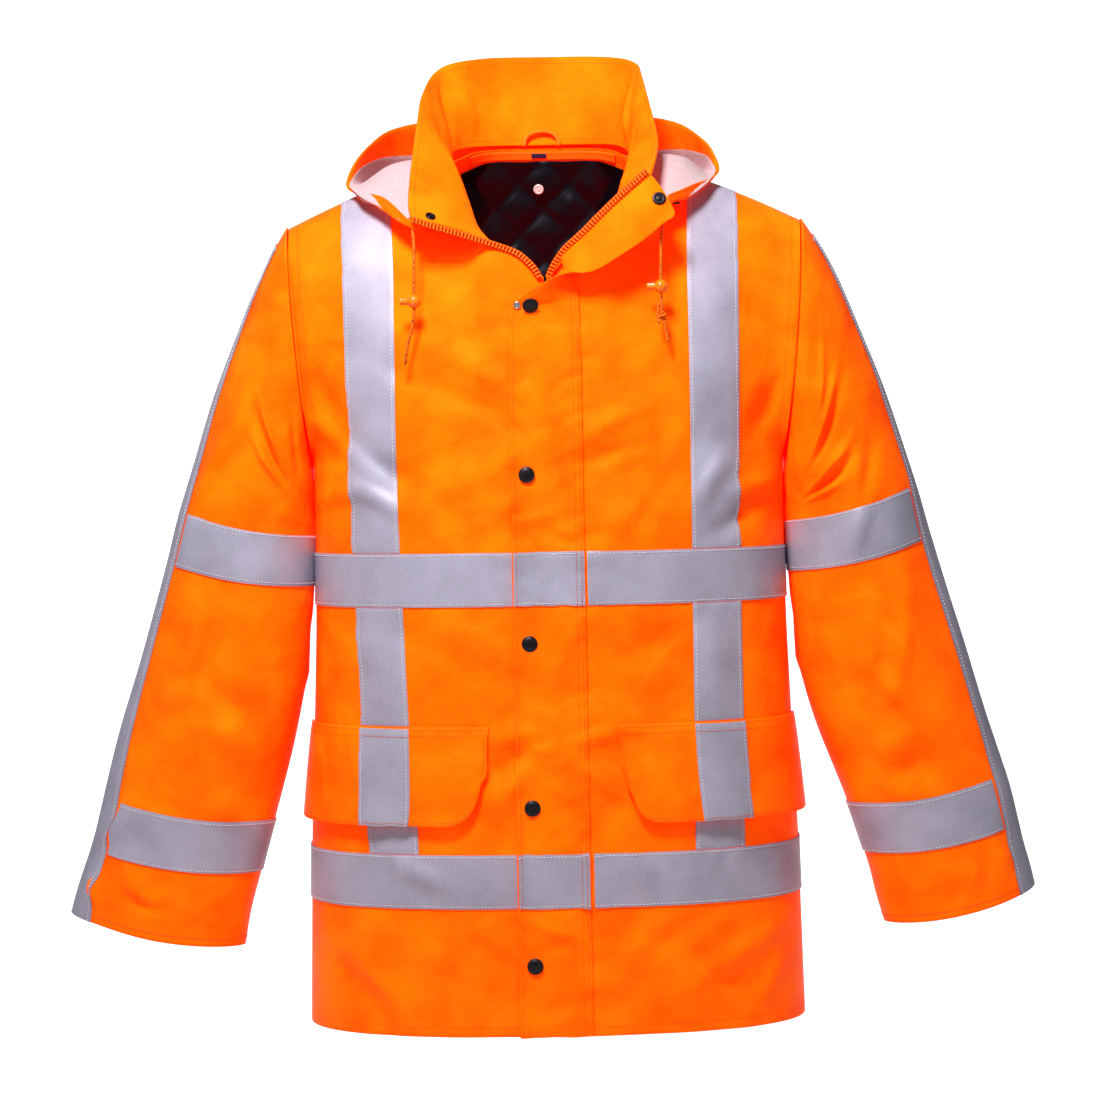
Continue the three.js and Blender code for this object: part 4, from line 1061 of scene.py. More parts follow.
class JacketSizes(bpy.types.PropertyGroup):
    """Sizes that the pieces share."""

    grid_step: length_size(
        "Grid step", "Distance between the rows of points of the cloth", 0.005, 0.003, 0.02
    )
    cloth_thickness: length_size(
        "Cloth", "Thickness of the orange cloth with its backing", 0.0016, 0.0005, 0.003
    )
    tape_thickness: length_size("Tape", "Thickness of the reflective tape", 0.0009, 0.0003, 0.002)
    stitch_length: length_size("Stitch", "Length of one stitch", 0.0026, 0.001, 0.006)


class JacketStage(bpy.types.PropertyGroup):
    """Camera and light."""

    camera_distance: length_size(
        "Camera distance", "From the camera to the middle of the jacket", 3.0, 1.0, 8.0
    )
    camera_height: length_size(
        "Camera height", "Height of the camera from the shoulders", -0.34, -2.0, 2.0
    )
    camera_roll: bpy.props.FloatProperty(
        name="Camera roll",
        description="How far the camera leans sideways",
        default=math.radians(1.05),
        min=-0.5,
        max=0.5,
        unit="ROTATION",
        subtype="ANGLE",
    )
    light_power: bpy.props.FloatProperty(
        name="Light power",
        description="Power of the main soft light",
        default=38.0,
        min=0.0,
        max=500.0,
        unit="POWER",
    )


def sizes():
    return bpy.context.scene.jacket_sizes


def grid_step():
    return sizes().grid_step / MM * 1


def soft_light(name, place, target, size, power):
    lamp = bpy.data.lights.new(name, "AREA")
    lamp.shape = "SQUARE"
    lamp.size = size
    lamp.energy = power
    obj = bpy.data.objects.new(name, lamp)
    bpy.context.scene.collection.objects.link(obj)
    obj.location = place
    obj.rotation_euler = (Vector(target) - Vector(place)).to_track_quat("-Z", "Y").to_euler()
    return obj


class JACKET_OT_stage(bpy.types.Operator):
    """Adds the camera, the soft lights and the pale floor with its sweep"""

    bl_idname = "jacket.stage"
    bl_label = "Stage"

    def execute(self, context):
        scene = context.scene
        settings = scene.jacket_stage
        camera = bpy.data.cameras.new("camera")
        frame_pixels, focal_pixels = 1100, 3099
        camera.sensor_width = 36
        camera.lens = camera.sensor_width * focal_pixels / frame_pixels
        holder = bpy.data.objects.new("camera", camera)
        scene.collection.objects.link(holder)
        holder.location = (0, -settings.camera_distance, settings.camera_height)
        holder.rotation_euler = (math.radians(90), settings.camera_roll, 0)
        scene.camera = holder

        floor_z, seam_y, wall_y, bend = -0.96, 0.42, 4.2, 0.7
        bpy.ops.mesh.primitive_plane_add(size=1)
        floor = context.object
        floor.name = "floor"
        floor.data.transform(Matrix.Diagonal((9, 5, 1, 1)))
        floor.data.transform(Matrix.Translation((0, seam_y - 2.5, floor_z)))
        floor.data.materials.append(new_material("pale floor", (0.75, 0.75, 0.75), 0.9)[0])
        profile = [(seam_y, floor_z), (wall_y - bend, floor_z)]
        for i in range(1, 12):
            a = math.radians(90 * i / 12)
            profile.append((wall_y - bend + bend * math.sin(a), floor_z + bend * (1 - math.cos(a))))
        profile += [(wall_y, floor_z + bend), (wall_y, 2.2)]
        mesh = bpy.data.meshes.new("sweep")
        verts = [(x, y, z) for y, z in profile for x in (-2.6, 2.6)]
        faces = [(2 * i, 2 * i + 1, 2 * i + 3, 2 * i + 2) for i in range(len(profile) - 1)]
        mesh.from_pydata(verts, [], faces)
        for polygon in mesh.polygons:
            polygon.use_smooth = True
        sweep = bpy.data.objects.new("sweep", mesh)
        scene.collection.objects.link(sweep)
        pale = new_material("pale sweep", (0.9, 0.9, 0.9), 0.9, emission=((1, 1, 1), 0.95))[0]
        mesh.materials.append(pale)

        world = bpy.data.worlds.new("soft room")
        world.use_nodes = True
        background = world.node_tree.nodes["Background"]
        background.inputs["Color"].default_value = (1, 1, 1, 1)
        background.inputs["Strength"].default_value = 0.11
        scene.world = world
        lights = (
            ("key light", (-0.3, -1.05, 1.05), (0, 0, -0.2), 0.4, 1.07),
            ("fill light", (1.6, -2.2, 0.2), (0, 0, -0.35), 1.0, 0.07),
            ("left light", (-1.6, -2.2, 0.2), (0, 0, -0.35), 1.0, 0.07),
        )
        for name, place, target, size, share in lights:
            soft_light(name, place, target, size, settings.light_power * share)
        scene.view_settings.view_transform = "Standard"
        return {"FINISHED"}


def tube_mesh(name, route, radius, sides=12, step=2.5):
    """A round tube along a smooth route, with flat ends."""
    points = [Vector(p) for p in route]
    length = sum((b - a).length for a, b in zip(points, points[1:]))
    count = max(4, int(length / step))
    line = [centripetal(points, i / count) for i in range(count + 1)]
    mesh = bpy.data.meshes.new(name)
    verts, faces = [], []
    side = Vector((1, 0, 0))
    for i, p in enumerate(line):
        ahead = (line[min(i + 1, count)] - line[max(i - 1, 0)]).normalized()
        side = (side - ahead * side.dot(ahead)).normalized()
        up = ahead.cross(side)
        for k in range(sides):
            a = 2 * math.pi * k / sides
            verts.append((p + (side * math.cos(a) + up * math.sin(a)) * radius) * MM)
    for i in range(count):
        for k in range(sides):
            n = (k + 1) % sides
            a, b = i * sides, (i + 1) * sides
            faces.append((a + k, a + n, b + n, b + k))
    faces.append(tuple(reversed(range(sides))))
    faces.append(tuple(range(count * sides, (count + 1) * sides)))
    mesh.from_pydata(verts, [], faces)
    for polygon in mesh.polygons:
        polygon.use_smooth = len(polygon.vertices) == 4
    return mesh, [p * MM for p in line]


def length_of(line):
    return sum((b - a).length for a, b in zip(line, line[1:]))


def ball_lock(name, place, node):
    """A ball cord lock with its push barrel on one side; the cord runs down through it."""
    radius, barrel = 6.5 * MM, 7 * MM
    bpy.ops.mesh.primitive_uv_sphere_add(segments=40, ring_count=24, radius=radius)
    ball = bpy.context.object
    ball.name = name
    bpy.ops.object.mode_set(mode="EDIT")
    bpy.ops.mesh.select_all(action="DESELECT")
    bpy.ops.object.mode_set(mode="OBJECT")
    for polygon in ball.data.polygons:
        polygon.select = polygon.center.x < -0.88 * radius
    bpy.ops.object.mode_set(mode="EDIT")
    bpy.ops.mesh.inset(thickness=0.3 * MM, depth=0)
    bpy.ops.mesh.extrude_region_move(TRANSFORM_OT_translate={"value": (-barrel, 0, 0)})
    bpy.ops.transform.resize(value=(0.05, 1, 1))
    bpy.ops.mesh.inset(thickness=0.4 * MM, depth=0.3 * MM)
    bpy.ops.object.mode_set(mode="OBJECT")
    bevel = ball.modifiers.new("edges", "BEVEL")
    bevel.width = 0.25 * MM
    bevel.segments = 2
    bevel.angle_limit = math.radians(50)
    bpy.ops.object.modifier_apply(modifier="edges")
    bpy.ops.object.shade_smooth_by_angle(angle=math.radians(40))
    ball.data.transform(Matrix.Translation(Vector(place) * MM))
    ball.data.materials.append(plain_material("orange plastic"))
    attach(ball, "root")
    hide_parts(node)
    return ball


class JACKET_OT_cords(bpy.types.Operator):
    """Makes the two drawcords with their ball locks and the knot"""

    bl_idname = "jacket.cords"
    bl_label = "Drawcords"

    def execute(self, context):
        braid = cord_material()
        lock_right = ball_lock("lock_right", (-122.6, -109, -106), "cord_lock_right")
        lock_left = ball_lock("lock_left", (108, -109, -96), "cord_lock_left")
        mesh, line = tube_mesh("cord_right", CORD_RIGHT_ROUTE, 1.5)
        right = put("cord_right", mesh, braid, ["drawcord_right"])
        tuple(line[0])
        length_of(line)
        [tuple(p) for p in line]
        mesh, _ = tube_mesh("cord_left_strand", CORD_LEFT_STRAND, 1.5)
        strand = put("cord_left_strand", mesh, braid, ["drawcord_left_strand"])
        knot = self.knot()
        mesh, line = tube_mesh("cord_left", CORD_LEFT_ROUTE, 1.5)
        left = put("cord_left", mesh, braid, ["drawcord_left"])
        tuple(line[0])
        length_of(line)
        [tuple(p) for p in line]
        return {"FINISHED"}

    def knot(self):
        """An overhand knot: one turn of cord round the two strands."""
        route = []
        for i in range(15):
            a = 2 * math.pi * i / 12
            x = 108.8 + 2.6 * math.cos(a)
            y = -110.4 + 2.4 * math.sin(a)
            route.append((x, y, -126.5 + 0.32 * i))
        mesh, _ = tube_mesh("cord_knot_turn", route, 1.45, 10, 0.8)
        return put("cord_knot_turn", mesh, cord_material(), ["cord_knot"])


def declare(piece):
    """Looks up a cloth piece's cut size in the table; nothing is done with it."""
    width, length, area = CUT[piece.name]


# Cut sizes of the cloth pieces as they show: width, length and, where it isn't a rectangle, area
CUT = {
    "front_panel_right": (0.30, 0.80, 0.21),
    "front_panel_left": (0.30, 0.80, 0.21),
    "back_panel": (0.56, 0.86, 0.42),
    "sleeve_panel_right": (0.48, 0.70, 0.26),
    "sleeve_panel_left": (0.48, 0.69, 0.26),
    "collar_piece": (0.56, 0.085, 0.042),
    "hood_shell": (0.62, 0.24, 0.12),
    "hood_mesh": (0.60, 0.20, 0.10),
    "storm_flap_piece": (0.07, 0.84, None),
    "pocket_piece_right": (0.19, 0.092, None),
    "pocket_piece_left": (0.19, 0.092, None),
    "quilt": (0.27, 0.19, None),
    "neck_piece": (0.17, 0.0125, None),
}


class JACKET_OT_body(bpy.types.Operator):
    """Makes the two fronts and the back of orange cloth"""

    bl_idname = "jacket.body"
    bl_label = "Fronts and back"

    def execute(self, context):
        step = grid_step()
        thickness = sizes().cloth_thickness / MM
        heights = rows_between(HEM_Z, UNDERARM_Z, step) + rows_between(UNDERARM_Z, 0, step)[1:]
        heights[-1] = -0.001
        for side, surface in FRONTS.items():
            across = self.crowded(FRONT_EDGE, PANEL_END, 250 / step)
            name, node = f"front_panel_{side}", f"front_{side}"
            orange_piece(name, surface, across, heights, thickness, node)
        half = self.crowded(0, PANEL_END, 250 / step)
        across = [-u for u in reversed(half[1:])] + half
        orange_piece("back_panel", BACK, across, heights, thickness, "back")
        return {"FINISHED"}

    def crowded(self, start, end, count):
        """Places from start to end, closer together towards the side seam."""
        count = round(count)
        return [start + (end - start) * math.sin(math.pi / 2 * i / count) ** 0.9 for i in range(count + 1)]


class JACKET_OT_sleeves(bpy.types.Operator):
    """Makes the two sleeves, from the armhole to the cuff"""

    bl_idname = "jacket.sleeves"
    bl_label = "Sleeves"

    def execute(self, context):
        step = grid_step()
        thickness = sizes().cloth_thickness / MM
        around = spread(0, 1, round(480 / step))[:-1]
        along_sleeve = rows_between(14, 0, step / SLEEVE_ROW)
        for side, surface in SLEEVES.items():
            name, node = f"sleeve_panel_{side}", f"sleeve_{side}"
            orange_piece(name, surface, around, along_sleeve, thickness, node, closed=True)
        return {"FINISHED"}


class JACKET_OT_collar(bpy.types.Operator):
    """Makes the stand collar, turned open at the front"""

    bl_idname = "jacket.collar"
    bl_label = "Collar"

    def execute(self, context):
        step = grid_step() / 1.5
        across = rows_between(0, 14, step / COLLAR_ROUND)
        heights = rows_between(0, 1, step / COLLAR_TALL)
        thickness = 2.2
        piece = orange_piece("collar_piece", COLLAR, across, heights, thickness, "collar")
        round_edges(piece, 0.8)
        return {"FINISHED"}


def round_edges(obj, width):
    """Rounds the cut edges of a thickened piece."""
    bevel = obj.modifiers.new("soft edge", "BEVEL")
    bevel.width = width * MM
    bevel.segments = 2
    bevel.limit_method = "ANGLE"
    bevel.angle_limit = math.radians(60)
    return obj


class JACKET_OT_hood(bpy.types.Operator):
    """Makes the folded-down hood and its pale mesh lining"""

    bl_idname = "jacket.hood"
    bl_label = "Hood"

    def execute(self, context):
        step = grid_step() / 1.3
        across = rows_between(0, 14, step / 45)
        heights = rows_between(0, 1, step / 230)
        orange_piece("hood_shell", HOOD, across, heights, CLOTH, "hood")
        across = rows_between(0.6, 13.4, step / 45)
        heights = rows_between(0.04, 0.9, step / 230)
        thickness, pale = 0.6, mesh_material()
        inside = -CLOTH - thickness
        cloth(
            "hood_mesh", HOOD, across, heights, thickness, pale, ["hood_lining"], inside
        )
        return {"FINISHED"}


class JACKET_OT_storm_flap(bpy.types.Operator):
    """Makes the storm flap, snapped down below and turned open at the top"""

    bl_idname = "jacket.storm_flap"
    bl_label = "Storm flap"

    def execute(self, context):
        step = grid_step() / 1.3
        across = rows_between(0, 1, step / 67)
        last = len(FLAP_HEIGHTS) - 1
        rows = []
        for j in range(last):
            height = FLAP_HEIGHTS[j + 1] - FLAP_HEIGHTS[j]
            count = max(2, round(height / step))
            rows += [j + i / count for i in range(count)]
        rows += rows_between(last, last + len(FLAP_TOP_ROWS), step / 14)
        piece = orange_piece("storm_flap_piece", FLAP, across, rows, CLOTH, "storm_flap")
        round_edges(piece, 0.6)
        return {"FINISHED"}


class JACKET_OT_pockets(bpy.types.Operator):
    """Makes the two pocket flaps, hanging from their top seams"""

    bl_idname = "jacket.pockets"
    bl_label = "Pocket flaps"

    def execute(self, context):
        step = grid_step() / 1.3
        for side, surface in POCKETS.items():
            start, end = surface.u_range
            corner = [start + 0.13 * (i / 12) ** 1.6 for i in range(12)]
            across = corner + rows_between(start + 0.13, end, step / 230)
            heights = rows_between(1, 0, step / 92)
            name, node = f"pocket_piece_{side}", f"pocket_flap_{side}"
            piece = orange_piece(name, surface, across, heights, CLOTH, node)
            round_edges(piece, 0.6)
        return {"FINISHED"}


def tape_between(name, surface, edges_at, heights, across_count, nodes, rise=TAPE_RISE):
    """A tape over a surface between two edges that are given for each height."""

    def place(start, end, t):
        """Evenly across, or closer together towards the side seam where the tape reaches it."""
        if end < BAND_END:
            return lerp(start, end, t)
        if start < 0:
            return end * math.sin(math.pi * (t - 0.5))
        return lerp(start, end, math.sin(math.pi * t / 2) ** 0.9)

    rows = []
    for v in heights:
        start, end = edges_at(v)
        rows.append(
            [
                surface.at(place(start, end, i / across_count), v, rise)
                for i in range(across_count + 1)
            ]
        )
    mesh = grid_mesh(name, rows)
    middle = len(heights) // 2
    start, end = edges_at(heights[middle])
    toward = surface.normal(lerp(start, end, 0.5), heights[middle])
    face = mesh.polygons[min(middle, len(heights) - 2) * across_count + across_count // 2]
    if face.normal.dot(toward) < 0:
        mesh.flip_normals()
    obj = put(name, mesh, tape_material(), nodes)
    return thicken(obj, sizes().tape_thickness / MM)


def brace_edges(surface, inner, sign=1):
    """The two edges of a brace at a height, from its inner edge's table."""

    def edges_at(v):
        x = look_up(inner, v, 1)
        start = surface.u_at_x(x, v)
        end = surface.step(start, v, TAPE_WIDTH)
        return sign * start, sign * min(end, INSIDE_SEAM)

    return edges_at


def band_layout(name, band, step):
    """The four pieces of a band round the body: name, surface, edges, heights, columns, node."""
    heights = spread(*band, 8)
    for side, start in (("right", 0.07), ("left", 0.152)):
        yield (
            f"{name}_tape_{side}",
            FRONTS[side],
            lambda v, start=start: (start, BAND_END),
            heights,
            round(260 / step),
            f"{name}_band_front_{side}",
        )
    yield (
        f"{name}_tape_back",
        BACK,
        lambda v: (-BAND_END, BAND_END),
        heights,
        round(560 / step),
        f"{name}_band_back",
    )
    yield (
        f"{name}_tape_flap",
        FLAP,
        lambda v: (0.006, 0.994),
        spread(flap_row(band[0]), flap_row(band[1]), 8),
        round(67 / step),
        f"{name}_band_flap",
    )


def brace_layout(side, step):
    """The lengths of a brace over one shoulder, front and back, and the piece on the pocket flap."""
    sign = 1 if side == "left" else -1
    inner = BRACE_INNER[side]
    count = max(4, round(TAPE_WIDTH / step))
    front = brace_edges(FRONTS[side], inner)
    rear = brace_edges(BACK, inner, sign)
    chest_low, chest_high = CHEST_BAND
    hem_high = HEM_BAND[1]
    parts = (
        ("front", "upper", FRONTS[side], front, chest_high + 0.6, -1.5),
        ("front", "middle", FRONTS[side], front, POCKET["top_z"] + 0.6, chest_low - 0.6),
        ("front", "lower", FRONTS[side], front, hem_high + 0.6, -572),
        ("back", "upper", BACK, rear, chest_high + 0.6, -1.5),
        ("back", "lower", BACK, rear, hem_high + 0.6, chest_low - 0.6),
    )
    for face, part, surface, edges_at, low, high in parts:
        yield (
            f"brace_tape_{face}_{side}_{part}",
            surface,
            edges_at,
            rows_between(low, high, step),
            count,
            f"brace_{face}_{side}_{part}",
        )
    yield (
        f"brace_tape_pocket_{side}",
        POCKETS[side],
        lambda t: front(POCKET["top_z"] - t * POCKET["height"]),
        rows_between(1, 0.02, step / 92),
        count,
        f"brace_pocket_{side}",
    )


STRIPE_FORWARD = 0.05  # how far before the outer line the sleeve stripe comes at the cuff


def sleeve_layout(side, step):
    """The long stripe down a sleeve and the two rings that it interrupts."""
    surface = SLEEVES[side]
    known = []
    for v in spread(0.8, 14, 33):
        middle = 1 - STRIPE_FORWARD * v / 14
        edges = [surface.step(middle, v, way * TAPE_WIDTH / 2) for way in (-1, 1)]
        known.append((v, *edges))

    def edges_at(v):
        return look_up(known, v, 1), look_up(known, v, 2)

    yield (
        f"sleeve_tape_{side}",
        surface,
        edges_at,
        rows_between(14, 0.8, step / SLEEVE_ROW),
        max(4, round(TAPE_WIDTH / step)),
        f"sleeve_stripe_{side}",
    )
    for ring, low, high in (("upper", 7, 8), ("lower", 11, 12)):
        start = max(edges_at(low)[1], edges_at(high)[1]) - 1 + 0.006
        end = min(edges_at(low)[0], edges_at(high)[0]) - 0.006
        yield (
            f"sleeve_ring_{side}_{ring}",
            surface,
            lambda v, start=start, end=end: (start, end),
            spread(high, low, 8),
            round(420 / step),
            f"sleeve_{side}_ring_{ring}",
        )


def tape_layout():
    """Every tape of the jacket."""
    step = grid_step()
    yield from band_layout("chest", CHEST_BAND, step)
    yield from band_layout("hem", HEM_BAND, step)
    for side in ("right", "left"):
        yield from brace_layout(side, step)
        yield from sleeve_layout(side, step)


class JACKET_OT_tapes(bpy.types.Operator):
    """Makes the reflective bands, braces, sleeve rings and stripes"""

    bl_idname = "jacket.tapes"
    bl_label = "Reflective tapes"

    def execute(self, context):
        for name, surface, edges_at, heights, count, node in tape_layout():
            tape_between(name, surface, edges_at, heights, count, [node])
        return {"FINISHED"}


QUILT = 50  # the diamond's diagonal


def quilt_puff(x, z):
    """How far the lining stands out between its diamonds' seams, with a little crumple."""
    ridge = math.sin(math.pi * (x + z) / QUILT) * math.sin(math.pi * (x - z) / QUILT)
    crumple = 1.6 * noise.noise(Vector((x, 0, z)) / 13)
    return (4.5 + crumple) * abs(ridge) ** 0.6


class JACKET_OT_lining(bpy.types.Operator):
    """Makes the quilted lining, the neck facing, the label and the hanger loop"""

    bl_idname = "jacket.lining"
    bl_label = "Lining and neck"

    def execute(self, context):
        step = grid_step() / 2
        across = rows_between(-0.42, 0.42, step / 250)
        heights = rows_between(-200, -8.5, step)
        rows = []
        for v in heights:
            row = []
            for u in across:
                p = BACK.at(u, v)
                row.append(p - BACK.normal(u, v) * (CLOTH + 3 + quilt_puff(p.x, p.z)))
            rows.append(row)
        mesh = grid_mesh("quilt", rows)
        face_front(mesh, len(mesh.polygons) // 2)
        thicken(put("quilt", mesh, lining_material(), ["quilted_lining"]), 1.2)

        across = rows_between(-0.3, 0.3, step / 250)
        rows = [
            [BACK.at(u, v, -CLOTH - 0.8) for u in across] for v in rows_between(-8, -1, 1.75)
        ]
        mesh = grid_mesh("neck_piece", rows)
        face_front(mesh, len(mesh.polygons) // 2)
        inside = plain_material("orange inside")
        neck = put("neck_piece", mesh, inside, ["neck_facing"])
        thicken(neck, 1.2, 1)

        rows = [
            [BACK.at(u, v, -CLOTH - 3.2) for u in spread(-0.046, 0.014, 8)]
            for v in spread(-6, -1.5, 3)
        ]
        mesh = grid_mesh("blank_label", rows)
        face_front(mesh, 0)
        label = put("blank_label", mesh, plain_material("navy label"), ["label"])
        thicken(label, 0.6)

        route = [
            (-18, 70, 60),
            (-17.5, 71, 66),
            (-14, 72.4, 71),
            (-8, 73.2, 74),
            (0, 73.7, 75),
            (7, 73.2, 74),
            (12.5, 72.4, 71),
            (15.5, 71, 66),
            (16, 70, 60),
        ]
        mesh, _ = tube_mesh("neck_loop", route, 2.0)
        put("neck_loop", mesh, inside, ["hanger_loop"])
        return {"FINISHED"}


class JACKET_OT_zip(bpy.types.Operator):
    """Makes the two zip tapes along the opened edges, with their teeth"""

    bl_idname = "jacket.zip"
    bl_label = "Zip"

    def execute(self, context):
        self.half("right", ZIP_RIGHT)
        self.half("left", ZIP_LEFT)
        return {"FINISHED"}

    def half(self, side, table):
        width, thick, pitch = 6, 1.2, 3.4
        line = spread(0, len(table) - 1, 60)
        middle, across = [], []
        for t in line:
            x, y, z, dx, dz = along(table, t)
            middle.append(Vector((x, y + 0.5, z)))
            across.append(Vector((dx, 0, dz)).normalized())
        rows = [
            [p + a * (width * k) for p, a in zip(middle, across)] for k in (-0.5, -0.17, 0.17, 0.5)
        ]
        mesh = grid_mesh(f"zip_tape_{side}", rows)
        face_front(mesh, 0)
        tape = put(
            f"zip_tape_{side}", mesh, plain_material("zip tape"), [f"zip_{side}"]
        )
        thicken(tape, thick)
        verts, faces = [], []
        walked, due = 0, 0
        for i in range(len(middle) - 1):
            step = (middle[i + 1] - middle[i]).length
            while due <= walked + step:
                p = middle[i].lerp(middle[i + 1], (due - walked) / step)
                ahead = (middle[i + 1] - middle[i]).normalized()
                self.tooth(verts, faces, p, ahead, across[i])
                due += pitch
            walked += step
        teeth = bpy.data.meshes.new(f"zip_teeth_{side}")
        teeth.from_pydata([v * MM for v in verts], [], faces)
        put(f"zip_teeth_{side}", teeth, plain_material("orange zip"))

    def tooth(self, verts, faces, p, ahead, side):
        """A tooth with a waist: a block over the chain's line, narrower at its root."""
        first = len(verts)
        front = Vector((0, -1, 0))
        for height in (-0.2, 2.3):
            for a, s in ((-1, -2.7), (1, -2.7), (0.6, 0.2), (1, 2.4), (-1, 2.4), (-0.6, 0.2)):
                verts.append(p + ahead * a + side * s + front * height)
        for k in range(6):
            n = (k + 1) % 6
            faces.append((first + k, first + n, first + 6 + n, first + 6 + k))
        faces.append(tuple(first + 6 + k for k in range(6)))
        faces.append(tuple(first + k for k in reversed(range(6))))


def top_faces(obj):
    """Selects only the faces that look up, and opens the object for editing."""
    bpy.ops.object.mode_set(mode="EDIT")
    bpy.ops.mesh.select_all(action="DESELECT")
    bpy.ops.object.mode_set(mode="OBJECT")
    highest = max(p.center.z for p in obj.data.polygons)
    for polygon in obj.data.polygons:
        polygon.select = polygon.normal.z > 0.9 and polygon.center.z > highest - 1e-5
    bpy.ops.object.mode_set(mode="EDIT")


def make_snap(name, node, radius, thick, direction, finish, dished, rise=0):
    """A snap part: a low domed cap, or a dished ring with a post, set on its CAD place."""
    low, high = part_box(node)
    middle = (Vector(low) + Vector(high)) / 2 + direction.normalized() * rise * MM
    r, t = radius * MM, thick * MM
    bpy.ops.object.select_all(action="DESELECT")
    bpy.ops.mesh.primitive_cylinder_add(vertices=48, radius=r, depth=t * 0.5)
    obj = bpy.context.object
    obj.name = name
    top_faces(obj)
    if dished:
        steps = ((0.14, 0.3), (0.24, 0), (0.06, -0.45), (0.16, 0), (0.04, 0.4))
    else:
        steps = ((0.1, 0.18), (0.08, -0.1), (0.08, 0.2), (0.22, 0.13), (0.22, 0.05))
    for inward, upward in steps:
        bpy.ops.mesh.inset(thickness=r * inward, depth=t * upward)
    bpy.ops.object.mode_set(mode="OBJECT")
    bevel = obj.modifiers.new("edges", "BEVEL")
    bevel.width = 0.18 * MM
    bevel.segments = 2
    bevel.limit_method = "ANGLE"
    bevel.angle_limit = math.radians(35)
    bpy.ops.object.modifier_apply(modifier="edges")
    bpy.ops.object.shade_smooth_by_angle(angle=math.radians(35))
    turn = Vector((0, 0, 1)).rotation_difference(direction.normalized()).to_matrix().to_4x4()
    place = Matrix.Translation(middle - direction.normalized() * t * 0.22)
    obj.data.transform(place @ turn)
    obj.data.materials.append(plain_material(finish))
    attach(obj, "root")
    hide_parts(node)
    return obj


class JACKET_OT_snaps(bpy.types.Operator):
    """Makes the snap caps, studs and sockets"""

    bl_idname = "jacket.snaps"
    bl_label = "Snaps"

    def execute(self, context):
        ahead = Vector((0, -1, 0.02))
        rows = len(FLAP_HEIGHTS)
        tip = rows + len(FLAP_TOP_ROWS) - 1
        cap = (7.5, 2.4)  # radius and thickness
        for i in range(1, 5):
            make_snap(f"cap_{i}", f"snap_cap_{i}", *cap, ahead, "dark metal", False)
        parts = (
            ("cap_5", "snap_cap_5", *cap, FLAP.normal(0.7, rows + 0.1), "dark metal", False),
            ("stud_flap", "flap_stud", 3.5, 1.6, FLAP.normal(0.93, rows + 0.25), "bright metal", True),
            ("stud_collar", "collar_stud", 5, 2, COLLAR.normal(0.42, 0.76), "dark metal", True),
            ("socket", "flap_socket", 6.5, 2, -FLAP.normal(0.55, tip - 0.45), "dark metal", True),
            ("ring_snap", "lining_snap", 5, 1.8, -BACK.normal(-0.02, -30), "pale metal", True),
            ("small_snap", "hood_snap", 4, 1.8, HOOD.normal(13.4, 0.62), "dark metal", False),
        )
        for name, node, radius, thick, direction, finish, dished in parts:
            rise = 5 if name == "ring_snap" else 0
            make_snap(name, node, radius, thick, direction, finish, dished, rise)
        return {"FINISHED"}


ON_CLOTH = 0.1  # how far a stitch's middle stands off the cloth
ON_TAPE = TAPE_RISE + 0.3  # and off the cloth where it goes through a tape


class Thread:
    """Stitches of one colour, joined in one mesh: each is a small stretched octahedron."""

    def __init__(self):
        self.verts, self.faces = [], []

    def run(self, surface, places, lift):
        """Stitches along places (u, v) on a surface, lying on it with a lift."""
        length = sizes().stitch_length / MM
        pitch = length * 1.3
        points = [surface.at(u, v, lift) for u, v in places]
        normals = [surface.normal(u, v) for u, v in places]
        walked, due = 0, pitch / 2
        for i in range(len(points) - 1):
            span = points[i + 1] - points[i]
            step = span.length
            if step < 1e-6:
                continue
            while due <= walked + step:
                t = (due - walked) / step
                self.stitch(points[i] + span * t, span / step, normals[i].lerp(normals[i + 1], t), length)
                due += pitch
            walked += step

    def stitch(self, p, ahead, up, length):
        up = (up - ahead * up.dot(ahead)).normalized()
        side = ahead.cross(up)
        k = len(self.verts)
        half, wide, high = length / 2, 0.45, 0.4
        self.verts += [
            p + ahead * half,
            p - ahead * half,
            p + side * wide,
            p - side * wide,
            p + up * high,
            p - up * high,
        ]
        for a, b in ((0, 2), (2, 1), (1, 3), (3, 0)):
            self.faces.append((k + a, k + b, k + 4))
            self.faces.append((k + b, k + a, k + 5))

    def finish(self, name, material, slot):
        mesh = bpy.data.meshes.new(name)
        mesh.from_pydata([v * MM for v in self.verts], [], self.faces)
        put(name, mesh, plain_material(material))


